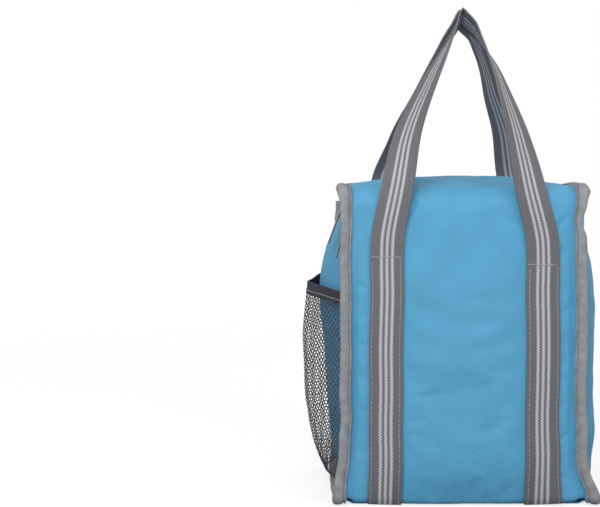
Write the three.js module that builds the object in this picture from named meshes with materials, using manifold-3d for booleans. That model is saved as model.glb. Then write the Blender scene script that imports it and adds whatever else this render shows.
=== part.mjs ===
// Insulated lunch bag: a soft box with a zipped lift-up lid, two striped webbing handles
// and a mesh bottle pocket on its left side. Millimetres, +Z up, the front faces -Y,
// and the origin is the middle of the base on the surface that the bag stands on.
import * as THREE from "three";
import { mergeVertices } from "three/addons/utils/BufferGeometryUtils.js";
import Module from "manifold-3d";

const wasm = await Module();
wasm.setup();

// Driving dimensions: the sewn box
const SEAM_WIDTH = 200; // left side seam to right side seam
const SEAM_DEPTH = 150; // front seam to back seam
const BODY_HEIGHT = 293; // floor to the lid's edge
const FRONT_BULGE = 12;
const BACK_BULGE = 8;
const SIDE_BULGE = 32;
const LID_CROWN = 6;
const LID_CORNER = 24; // back corners of the lid
const TOP_ROUND = 18; // front panel rolling over on to the top
const BOTTOM_ROUND = 11;
const SEAM_FLOOR = 2.8; // height of the bottom seam
const SIDE_FOOT = 8; // flat strip at the foot of each side panel
const BULGE_POWER = 2.5;

// Cloth and padding
const SHELL = 1;
const FOAM = 4;
const LINER = 0.6;
const BASE_BOARD = 2;
const CLEARANCE = 0.3;
const SLOT_PLAY = 0.45; // between the layers inside a binding
const FOAM_MARGIN = 8; // from the seams to the edge of each foam sheet
const LINER_CORNER = 12;

// Edge binding: a folded tape over the seam allowances
const BINDING_WIDTH = 12;
const BINDING_WALL = 0.8;
const BINDING_START = 1.2; // open edge of the binding from the seam
const BINDING_BREAK = 3; // lid binding starts behind the hinge
const BINDING_LEAN = THREE.MathUtils.degToRad(25); // out of the side, towards the panel it joins
const SEAM_ALLOWANCE = 9;

// Handles
const WEBBING_WIDTH = 30;
const WEBBING = 1.5;
const WEBBING_SPACING = 138;
const TACK_HEIGHT = 232; // bar tack where the sewn webbing ends and the loop starts
const HANDLE_TOP = 457;
const HANDLE_GAP = 2; // between the two loops where they meet
const HANDLE_STEPS = 22; // rows along each leg

// Mesh pocket on the left side
const POCKET_HEIGHT = 196;
const POCKET_STANDOFF = 13;
const POCKET_MESH = 1;
const NET_COLUMNS = 10;
const NET_ROWS = 14;
const NET_BAR_SHARE = 0.32; // of the pitch from one gap to the next
const RIM_HEIGHT = 11;
const RIM = 1.6;
const POCKET_FOOT = 16;
const POCKET_BELLY = 80; // height over which it swells from its foot
const POCKET_SHARE = 0.92; // of the side panel's depth

// Zipper
const ZIP_DROP = 14; // chain below the lid's edge
const ZIP_SETBACK = 14; // chain behind the front seam on its two ends
const TAPE = 0.6;
const TAPE_WIDTH = 10;
const ZIP_BAND = 22; // top of the side and back panels below the lid's edge
const LEFT_END_DROP = 36; // zipper ends below the lid's edge
const RIGHT_END_DROP = 77;
const END_TAB = 6; // tape below each end stop
const ZIP_TURN = 5; // radius of the chain where it turns down
const ZIP_CORNER = 10; // radius of the chain round the back corners
const ZIP_START = 27.5; // first stretch of the chain that lies on the lid, behind the front seam
const TOOTH_PITCH = 4.5;
const TOOTH_LENGTH = 2.2;
const TOOTH_DEPTH = 1.1;
const CHAIN_HALF = 2.6; // half the chain's width
const CHAIN_GAP = 0.6; // half the slit between the two rows
const CHAIN_THICKNESS = 2.4;

// Sliders and pulls
const SLIDER_LENGTH = 12;
const SLIDER_WIDTH = 9;
const SLIDER_PLATE = 1.2;
const SLIDER_PLAY = 0.6; // between the chain and each plate
const BRIDGE_RISE = 3.2;
const BRIDGE_BAR = 0.8;
const BRIDGE_WIDTH = 1.2;
const BRIDGE_SPAN = 8;
const PULL_LENGTH = 40;
const PULL_WIDTH = 7;
const PULL_THICKNESS = 1.4;
const PULL_WINDOW = [4, 5.4]; // width and length
const PULL_BAR = 1.2;
const RING_RADIUS = 3.2;
const RING_WIRE = 0.5;
const TOP_SLIDER_SETBACK = 35; // behind the front seam
const END_SLIDER_DROP = 27; // below the lid's edge
const TOP_PULL_TILT = THREE.MathUtils.degToRad(20);
const END_PULL_TILT = THREE.MathUtils.degToRad(16);

// Worked-out places
const halfWidth = SEAM_WIDTH / 2;
const halfDepth = SEAM_DEPTH / 2;
const bandTop = BODY_HEIGHT - ZIP_BAND;
const chainHeight = BODY_HEIGHT - ZIP_DROP;
const layerStep = SHELL + SLOT_PLAY;
const tapeInset = SHELL / 2 + CLEARANCE + TAPE / 2; // zipper tape behind the shell cloth
const foamInset = SHELL / 2 + CLEARANCE + TAPE + CLEARANCE + FOAM / 2;
const linerInset = foamInset + FOAM / 2 + CLEARANCE;
const hingeY = -(halfDepth - TOP_ROUND);
const chainX = halfWidth + layerStep * Math.sin(BINDING_LEAN) - tapeInset;
const chainBackY = halfDepth - tapeInset;
const chainFrontY = -(halfDepth - ZIP_SETBACK);
const zipStartY = -(halfDepth - ZIP_START);

const shellBlue = new THREE.MeshStandardMaterial({ color: "#5ba6d0", roughness: 0.7 });
const bindingGrey = new THREE.MeshStandardMaterial({ color: "#97989b", roughness: 0.85 });
const webbingGrey = new THREE.MeshStandardMaterial({ color: "#6b6b70", roughness: 0.9 });
const meshGrey = new THREE.MeshStandardMaterial({ color: "#6f7278", roughness: 0.9 });
const rimBlack = new THREE.MeshStandardMaterial({ color: "#393842", roughness: 0.9 });
const tapeGrey = new THREE.MeshStandardMaterial({ color: "#a2a2a4", roughness: 0.85 });
const teethGrey = new THREE.MeshStandardMaterial({ color: "#b4b4b6", roughness: 0.5 });
const nickel = new THREE.MeshStandardMaterial({ color: "#c8c8c8", roughness: 0.25, metalness: 1 });
const foamWhite = new THREE.MeshStandardMaterial({ color: "#eef0f0", roughness: 0.95 });
const linerSilver = new THREE.MeshStandardMaterial({ color: "#c9ccd0", roughness: 0.35 });
const boardGrey = new THREE.MeshStandardMaterial({ color: "#54565a", roughness: 0.8 });

const bag = new THREE.Group();

function addPiece(name, geometry, material) {
  const mesh = new THREE.Mesh(geometry, material);
  mesh.name = name;
  bag.add(mesh);
  return mesh;
}

// A closed solid as triangles, turned so that its faces point out.
function closedGeometry(points, triangles) {
  let volume = 0;
  for (const [a, b, c] of triangles) {
    volume += points[a].dot(points[b].clone().cross(points[c]));
  }
  const outward = volume > 0 ? triangles : triangles.map(([a, b, c]) => [a, c, b]);
  const geometry = new THREE.BufferGeometry().setFromPoints(points);
  geometry.setIndex(outward.flat());
  return geometry;
}

// A cloth sheet through a grid of points, with its thickness about them.
// keep(row, column) leaves a cell of the grid out where it is false.
function sheet(grid, thickness, keep = () => true) {
  const rows = grid.length - 1;
  const columns = grid[0].length - 1;
  const inside = (r, c) => r >= 0 && c >= 0 && r < rows && c < columns && keep(r, c);
  const normals = grid.map((line) => line.map(() => new THREE.Vector3()));
  const triangles = [];
  const used = new Map();
  const points = [];
  const corner = (r, c, side) => {
    const key = `${r},${c},${side}`;
    if (!used.has(key)) {
      used.set(key, points.length);
      const lift = normals[r][c].clone().multiplyScalar((side * thickness) / 2);
      points.push(grid[r][c].clone().add(lift));
    }
    return used.get(key);
  };
  for (let r = 0; r < rows; r++) {
    for (let c = 0; c < columns; c++) {
      if (!inside(r, c)) continue;
      const diagonal = grid[r + 1][c + 1].clone().sub(grid[r][c]);
      const across = grid[r + 1][c].clone().sub(grid[r][c + 1]);
      const normal = diagonal.cross(across).normalize();
      for (const [i, j] of [[0, 0], [0, 1], [1, 0], [1, 1]]) normals[r + i][c + j].add(normal);
    }
  }
  normals.flat().forEach((n) => n.lengthSq() && n.normalize());
  const wall = (r0, c0, r1, c1) => {
    const [a, b] = [corner(r0, c0, 1), corner(r1, c1, 1)];
    const [d, e] = [corner(r0, c0, -1), corner(r1, c1, -1)];
    triangles.push([a, b, d], [b, e, d]);
  };
  for (let r = 0; r < rows; r++) {
    for (let c = 0; c < columns; c++) {
      if (!inside(r, c)) continue;
      for (const side of [1, -1]) {
        const [p, q] = [corner(r, c, side), corner(r, c + 1, side)];
        const [s, t] = [corner(r + 1, c, side), corner(r + 1, c + 1, side)];
        triangles.push(...(side > 0 ? [[p, t, s], [p, q, t]] : [[p, s, t], [p, t, q]]));
      }
      if (!inside(r - 1, c)) wall(r, c + 1, r, c);
      if (!inside(r + 1, c)) wall(r + 1, c, r + 1, c + 1);
      if (!inside(r, c - 1)) wall(r, c, r + 1, c);
      if (!inside(r, c + 1)) wall(r + 1, c + 1, r, c + 1);
    }
  }
  return closedGeometry(points, triangles);
}

// A section of [reach, side] points, drawn anticlockwise, carried along frames of
// { origin, reach, side }.
function sweep(frames, section) {
  const count = section.length;
  const points = frames.flatMap((frame) =>
    section.map(([a, b]) =>
      frame.origin.clone().addScaledVector(frame.reach, a).addScaledVector(frame.side, b),
    ),
  );
  const triangles = [];
  for (let i = 0; i + 1 < frames.length; i++) {
    for (let j = 0; j < count; j++) {
      const k = (j + 1) % count;
      const [a, b] = [i * count + j, i * count + k];
      triangles.push([a, b, b + count], [a, b + count, a + count]);
    }
  }
  const flat = section.map(([a, b]) => new THREE.Vector2(a, b));
  const cap = THREE.ShapeUtils.triangulateShape(flat, []);
  const last = (frames.length - 1) * count;
  for (const [a, b, c] of cap) triangles.push([c, b, a], [last + a, last + b, last + c]);
  return closedGeometry(points, triangles);
}

function toSolid(geometry) {
  const bare = geometry.clone();
  bare.deleteAttribute("normal");
  bare.deleteAttribute("uv");
  const merged = mergeVertices(bare, 1e-4);
  return new wasm.Manifold(
    new wasm.Mesh({
      numProp: 3,
      vertProperties: merged.attributes.position.array,
      triVerts: new Uint32Array(merged.index.array),
    }),
  );
}

function toGeometry(solid) {
  const { vertProperties, triVerts } = solid.getMesh();
  const geometry = new THREE.BufferGeometry();
  geometry.setAttribute("position", new THREE.BufferAttribute(vertProperties, 3));
  return geometry.setIndex(new THREE.BufferAttribute(triVerts, 1));
}

const joinAll = (parts) => toGeometry(parts.map(toSolid).reduce((a, b) => a.add(b)));
const cut = (part, tool) => toGeometry(toSolid(part).subtract(toSolid(tool)));

function block(size, centre) {
  return new THREE.BoxGeometry(...size).translate(...centre);
}

function extruded(shape, depth, segments = 4) {
  return new THREE.ExtrudeGeometry(shape, { depth, bevelEnabled: false, curveSegments: segments });
}

function roundedRectangle(x0, y0, x1, y1, radius, shape = new THREE.Shape()) {
  shape.moveTo(x0 + radius, y0);
  shape.lineTo(x1 - radius, y0);
  shape.absarc(x1 - radius, y0 + radius, radius, -Math.PI / 2, 0);
  shape.lineTo(x1, y1 - radius);
  shape.absarc(x1 - radius, y1 - radius, radius, 0, Math.PI / 2);
  shape.lineTo(x0 + radius, y1);
  shape.absarc(x0 + radius, y1 - radius, radius, Math.PI / 2, Math.PI);
  shape.lineTo(x0, y0 + radius);
  shape.absarc(x0 + radius, y0 + radius, radius, Math.PI, 1.5 * Math.PI);
  return shape;
}

const fullness = (s) => 1 - Math.min(1, Math.abs(s)) ** BULGE_POWER;
const spread = (from, to, steps) =>
  Array.from({ length: steps + 1 }, (_, i) => from + ((to - from) * i) / steps);

// The line of a front or back seam, seen from the side: from the base, round the bottom
// edge and up. facing is -1 at the front and 1 at the back.
function seamProfile(facing, top, roundTop) {
  const bend = SEAM_FLOOR + BOTTOM_ROUND;
  const line = spread(-90, 0, 6).map((degrees) => {
    const a = THREE.MathUtils.degToRad(degrees);
    const out = halfDepth - BOTTOM_ROUND + BOTTOM_ROUND * Math.cos(a);
    const up = bend + BOTTOM_ROUND * Math.sin(a);
    return { y: facing * out, z: up, ny: facing * Math.cos(a), nz: Math.sin(a) };
  });
  const rightEnd = BODY_HEIGHT - RIGHT_END_DROP - END_TAB;
  const leftEnd = BODY_HEIGHT - LEFT_END_DROP - END_TAB;
  const levels = [...spread(bend, rightEnd, 5).slice(1), leftEnd, bandTop];
  line.push(...levels.map((z) => ({ y: facing * halfDepth, z, ny: facing, nz: 0 })));
  if (!roundTop) return line.filter((p) => p.z <= top + 1e-6);
  for (const degrees of spread(0, 90, 7)) {
    const a = THREE.MathUtils.degToRad(degrees);
    const out = halfDepth - TOP_ROUND + TOP_ROUND * Math.cos(a);
    const up = BODY_HEIGHT - TOP_ROUND + TOP_ROUND * Math.sin(a);
    line.push({ y: facing * out, z: up, ny: facing * Math.cos(a), nz: Math.sin(a) });
  }
  return line;
}

// Directions at a side seam: flange runs out along the binding, across goes to the side panel.
function seamFrame(point, side) {
  const lean = BINDING_LEAN * point.ny ** 2;
  const [s, c] = [Math.sin(lean), Math.cos(lean)];
  return {
    seam: new THREE.Vector3(side * halfWidth, point.y, point.z),
    flange: new THREE.Vector3(side * c, point.ny * s, point.nz * s),
    across: new THREE.Vector3(side * s, -point.ny * c, -point.nz * c),
  };
}

const frontProfile = seamProfile(-1, BODY_HEIGHT, true);
const backProfile = seamProfile(1, bandTop, false);
const sideFront = seamProfile(-1, bandTop, false);

// Shell panels

function wrapPanelPoint(point, x, bulge, top, inset) {
  const rise = fullness((point.z - (SEAM_FLOOR + top) / 2) / ((top - SEAM_FLOOR) / 2));
  const out = bulge * fullness(x / halfWidth) * rise - inset;
  return new THREE.Vector3(x, point.y + point.ny * out, point.z + point.nz * out);
}

const webbingX = WEBBING_SPACING / 2;
const webbingEdges = [webbingX - WEBBING_WIDTH / 2, webbingX, webbingX + WEBBING_WIDTH / 2];
const halfColumns = [12, 35, ...webbingEdges, halfWidth];
const wrapColumns = [...halfColumns.map((x) => -x).reverse(), ...halfColumns];

function wrapPanel(profile, bulge, top) {
  const grid = profile.map((point) => {
    const line = wrapColumns.map((x) => wrapPanelPoint(point, x, bulge, top, 0));
    for (const side of [-1, 1]) {
      const { seam, flange } = seamFrame(point, side);
      const tip = seam.addScaledVector(flange, SEAM_ALLOWANCE);
      side < 0 ? line.unshift(tip) : line.push(tip);
    }
    return line;
  });
  return sheet(grid, SHELL);
}

addPiece("front_panel", wrapPanel(frontProfile, FRONT_BULGE, BODY_HEIGHT), shellBlue);
addPiece("back_panel", wrapPanel(backProfile, BACK_BULGE, bandTop), shellBlue);

function bottomPanel() {
  const reachY = halfDepth - BOTTOM_ROUND - CLEARANCE;
  const low = SHELL / 2;
  const columns = [
    [-(halfWidth + SEAM_ALLOWANCE), SEAM_FLOOR],
    [-(halfWidth - 1), SEAM_FLOOR],
    [-(halfWidth - 5), low],
    [0, low],
    [halfWidth - 5, low],
    [halfWidth - 1, SEAM_FLOOR],
    [halfWidth + SEAM_ALLOWANCE, SEAM_FLOOR],
  ];
  const line = (y) => columns.map(([x, z]) => new THREE.Vector3(x, y, z));
  return sheet([line(-reachY), line(0), line(reachY)], SHELL);
}
addPiece("bottom_panel", bottomPanel(), shellBlue);

const notchShare = (ZIP_SETBACK + CHAIN_HALF + TAPE_WIDTH / 2) / halfDepth;
const bulgeShares = [-0.6, -0.4, -0.1, 0.2, 0.5, 0.75, 0.9];
const foamShares = bulgeShares.slice(1, -1); // foam keeps clear of the zipper's end and the steep edges
const sideShares = [-1, -1 + notchShare, ...bulgeShares, 1];
const sideLow = SEAM_FLOOR + SIDE_FOOT;
const sideMiddle = (sideLow + bandTop) / 2;

// A point of a side panel between the seam points in front of it and behind it; u runs from
// -1 to 1. The strip beside the zipper's end stays flat and the rest bulges.
function sidePoint(front, back, u, side, extra = 0) {
  const [start, end] = [front, back].map((point) => {
    const { seam, across } = seamFrame(point, side);
    return seam.addScaledVector(across, layerStep);
  });
  const point = start.lerp(end, (u + 1) / 2);
  const share = (u - notchShare / 2) / (1 - notchShare / 2);
  const rise = fullness((point.z - sideMiddle) / (sideMiddle - sideLow));
  point.x += side * (SIDE_BULGE * fullness(share) * rise + extra);
  return point;
}

function sidePanel(side, endDrop) {
  const endLevel = BODY_HEIGHT - endDrop - END_TAB;
  const grid = sideFront.map((front, row) => {
    const back = backProfile[row];
    const line = sideShares.map((u) => sidePoint(front, back, u, side));
    const tip = (point, from) =>
      from.clone().addScaledVector(seamFrame(point, side).flange, SEAM_ALLOWANCE);
    return [tip(front, line[0]), ...line, tip(back, line[line.length - 1])];
  });
  return sheet(grid, SHELL, (r, c) => sideFront[r].z < endLevel - 1e-6 || c > 1);
}
addPiece("left_side_panel", sidePanel(-1, LEFT_END_DROP), shellBlue);
addPiece("right_side_panel", sidePanel(1, RIGHT_END_DROP), shellBlue);

// Edge bindings

const bindingHalf = (layers) => (layers * SHELL + (layers + 1) * SLOT_PLAY) / 2 + BINDING_WALL;

function bindingSection(layers) {
  const outer = bindingHalf(layers);
  const inner = outer - BINDING_WALL;
  const fold = BINDING_WIDTH - BINDING_WALL;
  return [
    [BINDING_START, -outer],
    [fold, -outer],
    [BINDING_WIDTH, -outer / 2],
    [BINDING_WIDTH, outer / 2],
    [fold, outer],
    [BINDING_START, outer],
    [BINDING_START, inner],
    [fold, inner],
    [fold, -inner],
    [BINDING_START, -inner],
  ];
}

function sideBinding(side) {
  const middle = layerStep / 2;
  const frames = [...frontProfile].reverse().concat(backProfile).map((point) => {
    const { seam, flange, across } = seamFrame(point, side);
    return { origin: seam.addScaledVector(across, middle), reach: flange, side: across };
  });
  return sweep(frames, bindingSection(2));
}
addPiece("left_binding", sideBinding(-1), bindingGrey);
addPiece("right_binding", sideBinding(1), bindingGrey);

// Lid: top panel, its binding, foam and liner

const lidFront = hingeY + CLEARANCE;

// The lid's outline as half widths along its depth, inset from its seam.
function lidRows(inset, frontInset) {
  const [reach, back] = [halfWidth - inset, halfDepth - inset];
  const radius = LID_CORNER - inset;
  const front = [...new Set([frontInset, FOAM_MARGIN])].map((y) => lidFront + y);
  const straight = [...front, ...spread(hingeY, back - radius, 4).slice(1)];
  const rows = straight.map((y) => ({ y, reach, nx: 1, ny: 0 }));
  for (const degrees of spread(0, 90, 4).slice(1)) {
    const a = THREE.MathUtils.degToRad(degrees);
    const [nx, ny] = [Math.cos(a), Math.sin(a)];
    rows.push({ y: back - radius + radius * ny, reach: reach - radius + radius * nx, nx, ny });
  }
  return rows;
}

function lidSheet(inset, frontInset, drop, thickness) {
  const middleY = (hingeY + halfDepth) / 2;
  const inner = spread(-halfWidth, halfWidth, 8).slice(inset > 0 ? 1 : 0, inset > 0 ? -1 : undefined);
  const grid = lidRows(inset, frontInset).map(({ y, reach }) =>
    [-halfWidth + inset, ...inner, halfWidth - inset].map((full) => {
      const x = (full * reach) / (halfWidth - inset);
      const crown = fullness(x / halfWidth) * fullness((y - middleY) / (halfDepth - middleY));
      return new THREE.Vector3(x, y, BODY_HEIGHT + LID_CROWN * crown - drop);
    }),
  );
  return sheet(grid, thickness);
}
addPiece("lid_panel", lidSheet(-SEAM_ALLOWANCE, 0, 0, SHELL), shellBlue);
const lidFoamDrop = SHELL / 2 + 2 * CLEARANCE + FOAM / 2;
addPiece("lid_foam", lidSheet(FOAM_MARGIN, FOAM_MARGIN, lidFoamDrop, FOAM), foamWhite);
const lidLinerDrop = lidFoamDrop + FOAM / 2 + CLEARANCE + LINER / 2;
addPiece("lid_liner", lidSheet(FOAM_MARGIN, FOAM_MARGIN, lidLinerDrop, LINER), linerSilver);

function lidBinding() {
  const rows = lidRows(0, BINDING_BREAK);
  const frame = (row, side) => ({
    origin: new THREE.Vector3(side * row.reach, row.y, BODY_HEIGHT),
    reach: new THREE.Vector3(side * row.nx, row.ny, 0),
    side: new THREE.Vector3(0, 0, 1),
  });
  const left = rows.map((row) => frame(row, -1));
  const right = rows.map((row) => frame(row, 1)).reverse();
  return sweep([...left, ...right], bindingSection(1));
}
addPiece("lid_binding", lidBinding(), bindingGrey);

// Foam and liner of the body

function wrapFoam(profile, bulge, top, highest) {
  const reach = halfWidth - FOAM_MARGIN;
  const low = SEAM_FLOOR + BOTTOM_ROUND;
  const grid = profile
    .filter((point) => point.z >= low - 1e-6 && point.z <= highest)
    .map((point) => spread(-reach, reach, 4).map((x) => wrapPanelPoint(point, x, bulge, top, foamInset)));
  return sheet(grid, FOAM);
}
const foamTop = bandTop - 1;
addPiece("front_foam", wrapFoam(frontProfile, FRONT_BULGE, BODY_HEIGHT, foamTop), foamWhite);
addPiece("back_foam", wrapFoam(backProfile, BACK_BULGE, bandTop, foamTop), foamWhite);

function sideFoam(side) {
  const low = SEAM_FLOOR + BOTTOM_ROUND;
  const grid = [];
  sideFront.forEach((front, row) => {
    if (front.z < low - 1e-6 || front.z > foamTop) return;
    grid.push(foamShares.map((u) => sidePoint(front, backProfile[row], u, side, -foamInset)));
  });
  return sheet(grid, FOAM);
}
addPiece("left_foam", sideFoam(-1), foamWhite);
addPiece("right_foam", sideFoam(1), foamWhite);

const boardLow = SHELL + CLEARANCE;
const floorFoamLow = boardLow + BASE_BOARD + CLEARANCE;
const linerLow = floorFoamLow + FOAM + CLEARANCE;
const baseReachX = halfWidth - FOAM_MARGIN - 2;
const baseReachY = halfDepth - BOTTOM_ROUND - FOAM_MARGIN;

function baseSheet(thickness, low) {
  const outline = roundedRectangle(-baseReachX, -baseReachY, baseReachX, baseReachY, LINER_CORNER);
  return extruded(outline, thickness).translate(0, 0, low);
}
addPiece("base_board", baseSheet(BASE_BOARD, boardLow), boardGrey);
addPiece("base_foam", baseSheet(FOAM, floorFoamLow), foamWhite);

const linerX = halfWidth - linerInset;
const linerY = halfDepth - linerInset;
const linerTop = BODY_HEIGHT - ZIP_BAND - SLIDER_LENGTH;

function linerTub() {
  const wall = (inset) =>
    roundedRectangle(-linerX + inset, -linerY + inset, linerX - inset, linerY - inset, LINER_CORNER);
  const outside = extruded(wall(0), linerTop - linerLow).translate(0, 0, linerLow);
  const inside = extruded(wall(LINER), linerTop).translate(0, 0, linerLow + LINER);
  return cut(outside, inside);
}
addPiece("liner_tub", linerTub(), linerSilver);

// Webbing: four sewn runs and two free loops

const webbingInset = -(SHELL / 2 + CLEARANCE + WEBBING / 2);

function webbingRun(profile, bulge, top, side) {
  const rows = profile.slice(1).filter((point) => point.z < TACK_HEIGHT);
  rows.push({ ...rows[rows.length - 1], z: TACK_HEIGHT - CLEARANCE });
  const columns = wrapColumns.filter((x) => webbingEdges.includes(side * x));
  const grid = rows.map((point) =>
    columns.map((x) => wrapPanelPoint(point, x, bulge, top, webbingInset)),
  );
  return sheet(grid, WEBBING);
}
for (const [word, side] of [["left", -1], ["right", 1]]) {
  addPiece(`front_${word}_webbing`, webbingRun(frontProfile, FRONT_BULGE, BODY_HEIGHT, side), webbingGrey);
  addPiece(`back_${word}_webbing`, webbingRun(backProfile, BACK_BULGE, bandTop, side), webbingGrey);
}

// A loop's leg leaves the bar tack flat on the panel, leans in over the lid and turns a
// quarter so that it lies across the hand at the top.
function handleLoop(facing, bulge, top, passing) {
  const tack = { y: facing * halfDepth, z: TACK_HEIGHT + CLEARANCE, ny: facing, nz: 0 };
  const onPanel = (x) => wrapPanelPoint(tack, x, bulge, top, webbingInset);
  const foot = onPanel(webbingX);
  const slope = onPanel(webbingX - 1).sub(onPanel(webbingX + 1));
  const lie = Math.atan2(facing * slope.y, -slope.x);
  const passY = facing * (halfDepth + passing);
  const gripY = (facing * (WEBBING_WIDTH + HANDLE_GAP)) / 2;
  const centre = new THREE.CatmullRomCurve3([
    foot,
    new THREE.Vector3(webbingX - 1, foot.y + facing * CLEARANCE, TACK_HEIGHT + 20),
    new THREE.Vector3(webbingX - 10, passY, BODY_HEIGHT),
    new THREE.Vector3(webbingX * 0.66, THREE.MathUtils.lerp(passY, gripY, 0.36), BODY_HEIGHT + 56),
    new THREE.Vector3(webbingX * 0.36, THREE.MathUtils.lerp(passY, gripY, 0.75), BODY_HEIGHT + 112),
    new THREE.Vector3(webbingX * 0.12, gripY, HANDLE_TOP - 12),
    new THREE.Vector3(0, gripY, HANDLE_TOP - WEBBING / 2),
  ]);
  const leg = (side) =>
    spread(0, 1, HANDLE_STEPS).map((t) => {
      const p = centre.getPointAt(t);
      const turn = THREE.MathUtils.lerp(lie, Math.PI / 2, THREE.MathUtils.smoothstep(t, 0.25, 0.95));
      const across = new THREE.Vector3(-side * Math.cos(turn), facing * Math.sin(turn), 0);
      const middle = new THREE.Vector3(side * p.x, p.y, p.z);
      return spread(-1, 1, 2).map((w) =>
        middle.clone().addScaledVector(across, (w * WEBBING_WIDTH) / 2),
      );
    });
  return sheet([...leg(-1), ...leg(1).reverse().slice(1)], WEBBING);
}
const frontPassing = SHELL + WEBBING + 4 * CLEARANCE;
const backPassing = BINDING_WIDTH + 3 * WEBBING + 4 * CLEARANCE;
addPiece("front_handle", handleLoop(-1, FRONT_BULGE, BODY_HEIGHT, frontPassing), webbingGrey);
addPiece("back_handle", handleLoop(1, BACK_BULGE, bandTop, backPassing), webbingGrey);

// Mesh pocket: it stands off the left side, tight at its edges and foot and slack at its rim

function pocketLine(z, shares, thickness) {
  const lift = SHELL / 2 + 2 * CLEARANCE + thickness / 2;
  const [front, back] = [-1, 1].map((ny) => ({ y: ny * halfDepth, z, ny, nz: 0 }));
  const belly = Math.sin((Math.PI / 2) * Math.min(1, (z - POCKET_FOOT) / POCKET_BELLY));
  return shares.map((u) => {
    const standoff = POCKET_STANDOFF * fullness(u / POCKET_SHARE) * belly;
    return sidePoint(front, back, u, -1, lift + standoff);
  });
}

// Lines on both sides of each bar of the net, from one border to the other.
function netLines(from, to, gaps) {
  const pitch = (to - from) / (gaps + NET_BAR_SHARE);
  const bar = pitch * NET_BAR_SHARE;
  return Array.from({ length: gaps + 1 }, (_, i) => [from + i * pitch, from + i * pitch + bar]).flat();
}

function pocketNet() {
  const shares = netLines(-POCKET_SHARE, POCKET_SHARE, NET_COLUMNS);
  const levels = netLines(POCKET_FOOT, rimFoot - CLEARANCE, NET_ROWS);
  const grid = levels.map((z) => pocketLine(z, shares, POCKET_MESH));
  return sheet(grid, POCKET_MESH, (r, c) => r % 2 === 0 || c % 2 === 0);
}

function pocketRim() {
  const shares = [-POCKET_SHARE, ...sideShares.slice(1, -1), POCKET_SHARE];
  return sheet([rimFoot, POCKET_HEIGHT].map((z) => pocketLine(z, shares, RIM)), RIM);
}
const rimFoot = POCKET_HEIGHT - RIM_HEIGHT;
addPiece("pocket_mesh", pocketNet(), meshGrey);
addPiece("pocket_rim", pocketRim(), rimBlack);

// Zipper: tapes, rows of teeth and the two ends that turn down beside the front seams

const rowFoot = CHAIN_HALF + CLEARANCE; // edge of a tape from the chain's middle
const tapeTop = BODY_HEIGHT - bindingHalf(1) - CLEARANCE;

// The chain in plan: along the left side, across the back and along the right side.
function zipPlan() {
  const half = [[chainX, zipStartY + CLEARANCE]];
  for (const degrees of spread(0, 90, 4)) {
    const a = THREE.MathUtils.degToRad(degrees);
    const x = chainX - ZIP_CORNER + ZIP_CORNER * Math.cos(a);
    half.push([x, chainBackY - ZIP_CORNER + ZIP_CORNER * Math.sin(a)]);
  }
  return [...half.map(([x, y]) => [-x, y]), ...half.reverse()];
}

function zipTape(low, high) {
  return sheet(zipPlan().map(([x, y]) => [low, high].map((z) => new THREE.Vector3(x, y, z))), TAPE);
}
addPiece("body_zip_tape", zipTape(chainHeight - rowFoot - TAPE_WIDTH, chainHeight - rowFoot), tapeGrey);
addPiece("lid_zip_tape", zipTape(chainHeight + rowFoot, tapeTop), tapeGrey);

// A straight row of teeth from 0 to its length; way is 1 above the slit and -1 below it.
function toothRow(length, way) {
  const shape = new THREE.Shape();
  const count = Math.floor(length / TOOTH_PITCH);
  const pitch = length / count;
  const valley = way * (CHAIN_GAP + TOOTH_DEPTH);
  shape.moveTo(0, way * CHAIN_HALF);
  shape.lineTo(0, valley);
  for (let i = 0; i < count; i++) {
    const start = (i + 0.5) * pitch - TOOTH_LENGTH / 2;
    shape.lineTo(start, valley);
    shape.lineTo(start, way * CHAIN_GAP);
    shape.lineTo(start + TOOTH_LENGTH, way * CHAIN_GAP);
    shape.lineTo(start + TOOTH_LENGTH, valley);
  }
  shape.lineTo(length, valley);
  shape.lineTo(length, way * CHAIN_HALF);
  return extruded(shape, CHAIN_THICKNESS).translate(0, 0, -CHAIN_THICKNESS / 2);
}

// The bare cord of a row round one back corner. It is a little slimmer than the row's straight
// stretches and its ends run into them.
function cornerRow(side, way) {
  const slim = 0.15;
  const bend = spread(0, Math.PI / 2, 4).map((a) => ({ a, run: 0 }));
  const ends = [{ a: 0, run: -1 }, ...bend, { a: Math.PI / 2, run: 1 }];
  const frames = ends.map(({ a, run }) => {
    const [x, y] = [Math.cos(a), Math.sin(a)];
    return {
      origin: new THREE.Vector3(
        side * (chainX - ZIP_CORNER + ZIP_CORNER * x - run * y),
        chainBackY - ZIP_CORNER + ZIP_CORNER * y + run * x,
        chainHeight,
      ),
      reach: new THREE.Vector3(side * x, y, 0),
      side: new THREE.Vector3(0, 0, way),
    };
  });
  const half = CHAIN_THICKNESS / 2 - slim;
  const [root, foot] = [CHAIN_GAP + TOOTH_DEPTH + slim, CHAIN_HALF - slim];
  return sweep(frames, [[-half, root], [half, root], [half, foot], [-half, foot]]);
}

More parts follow.
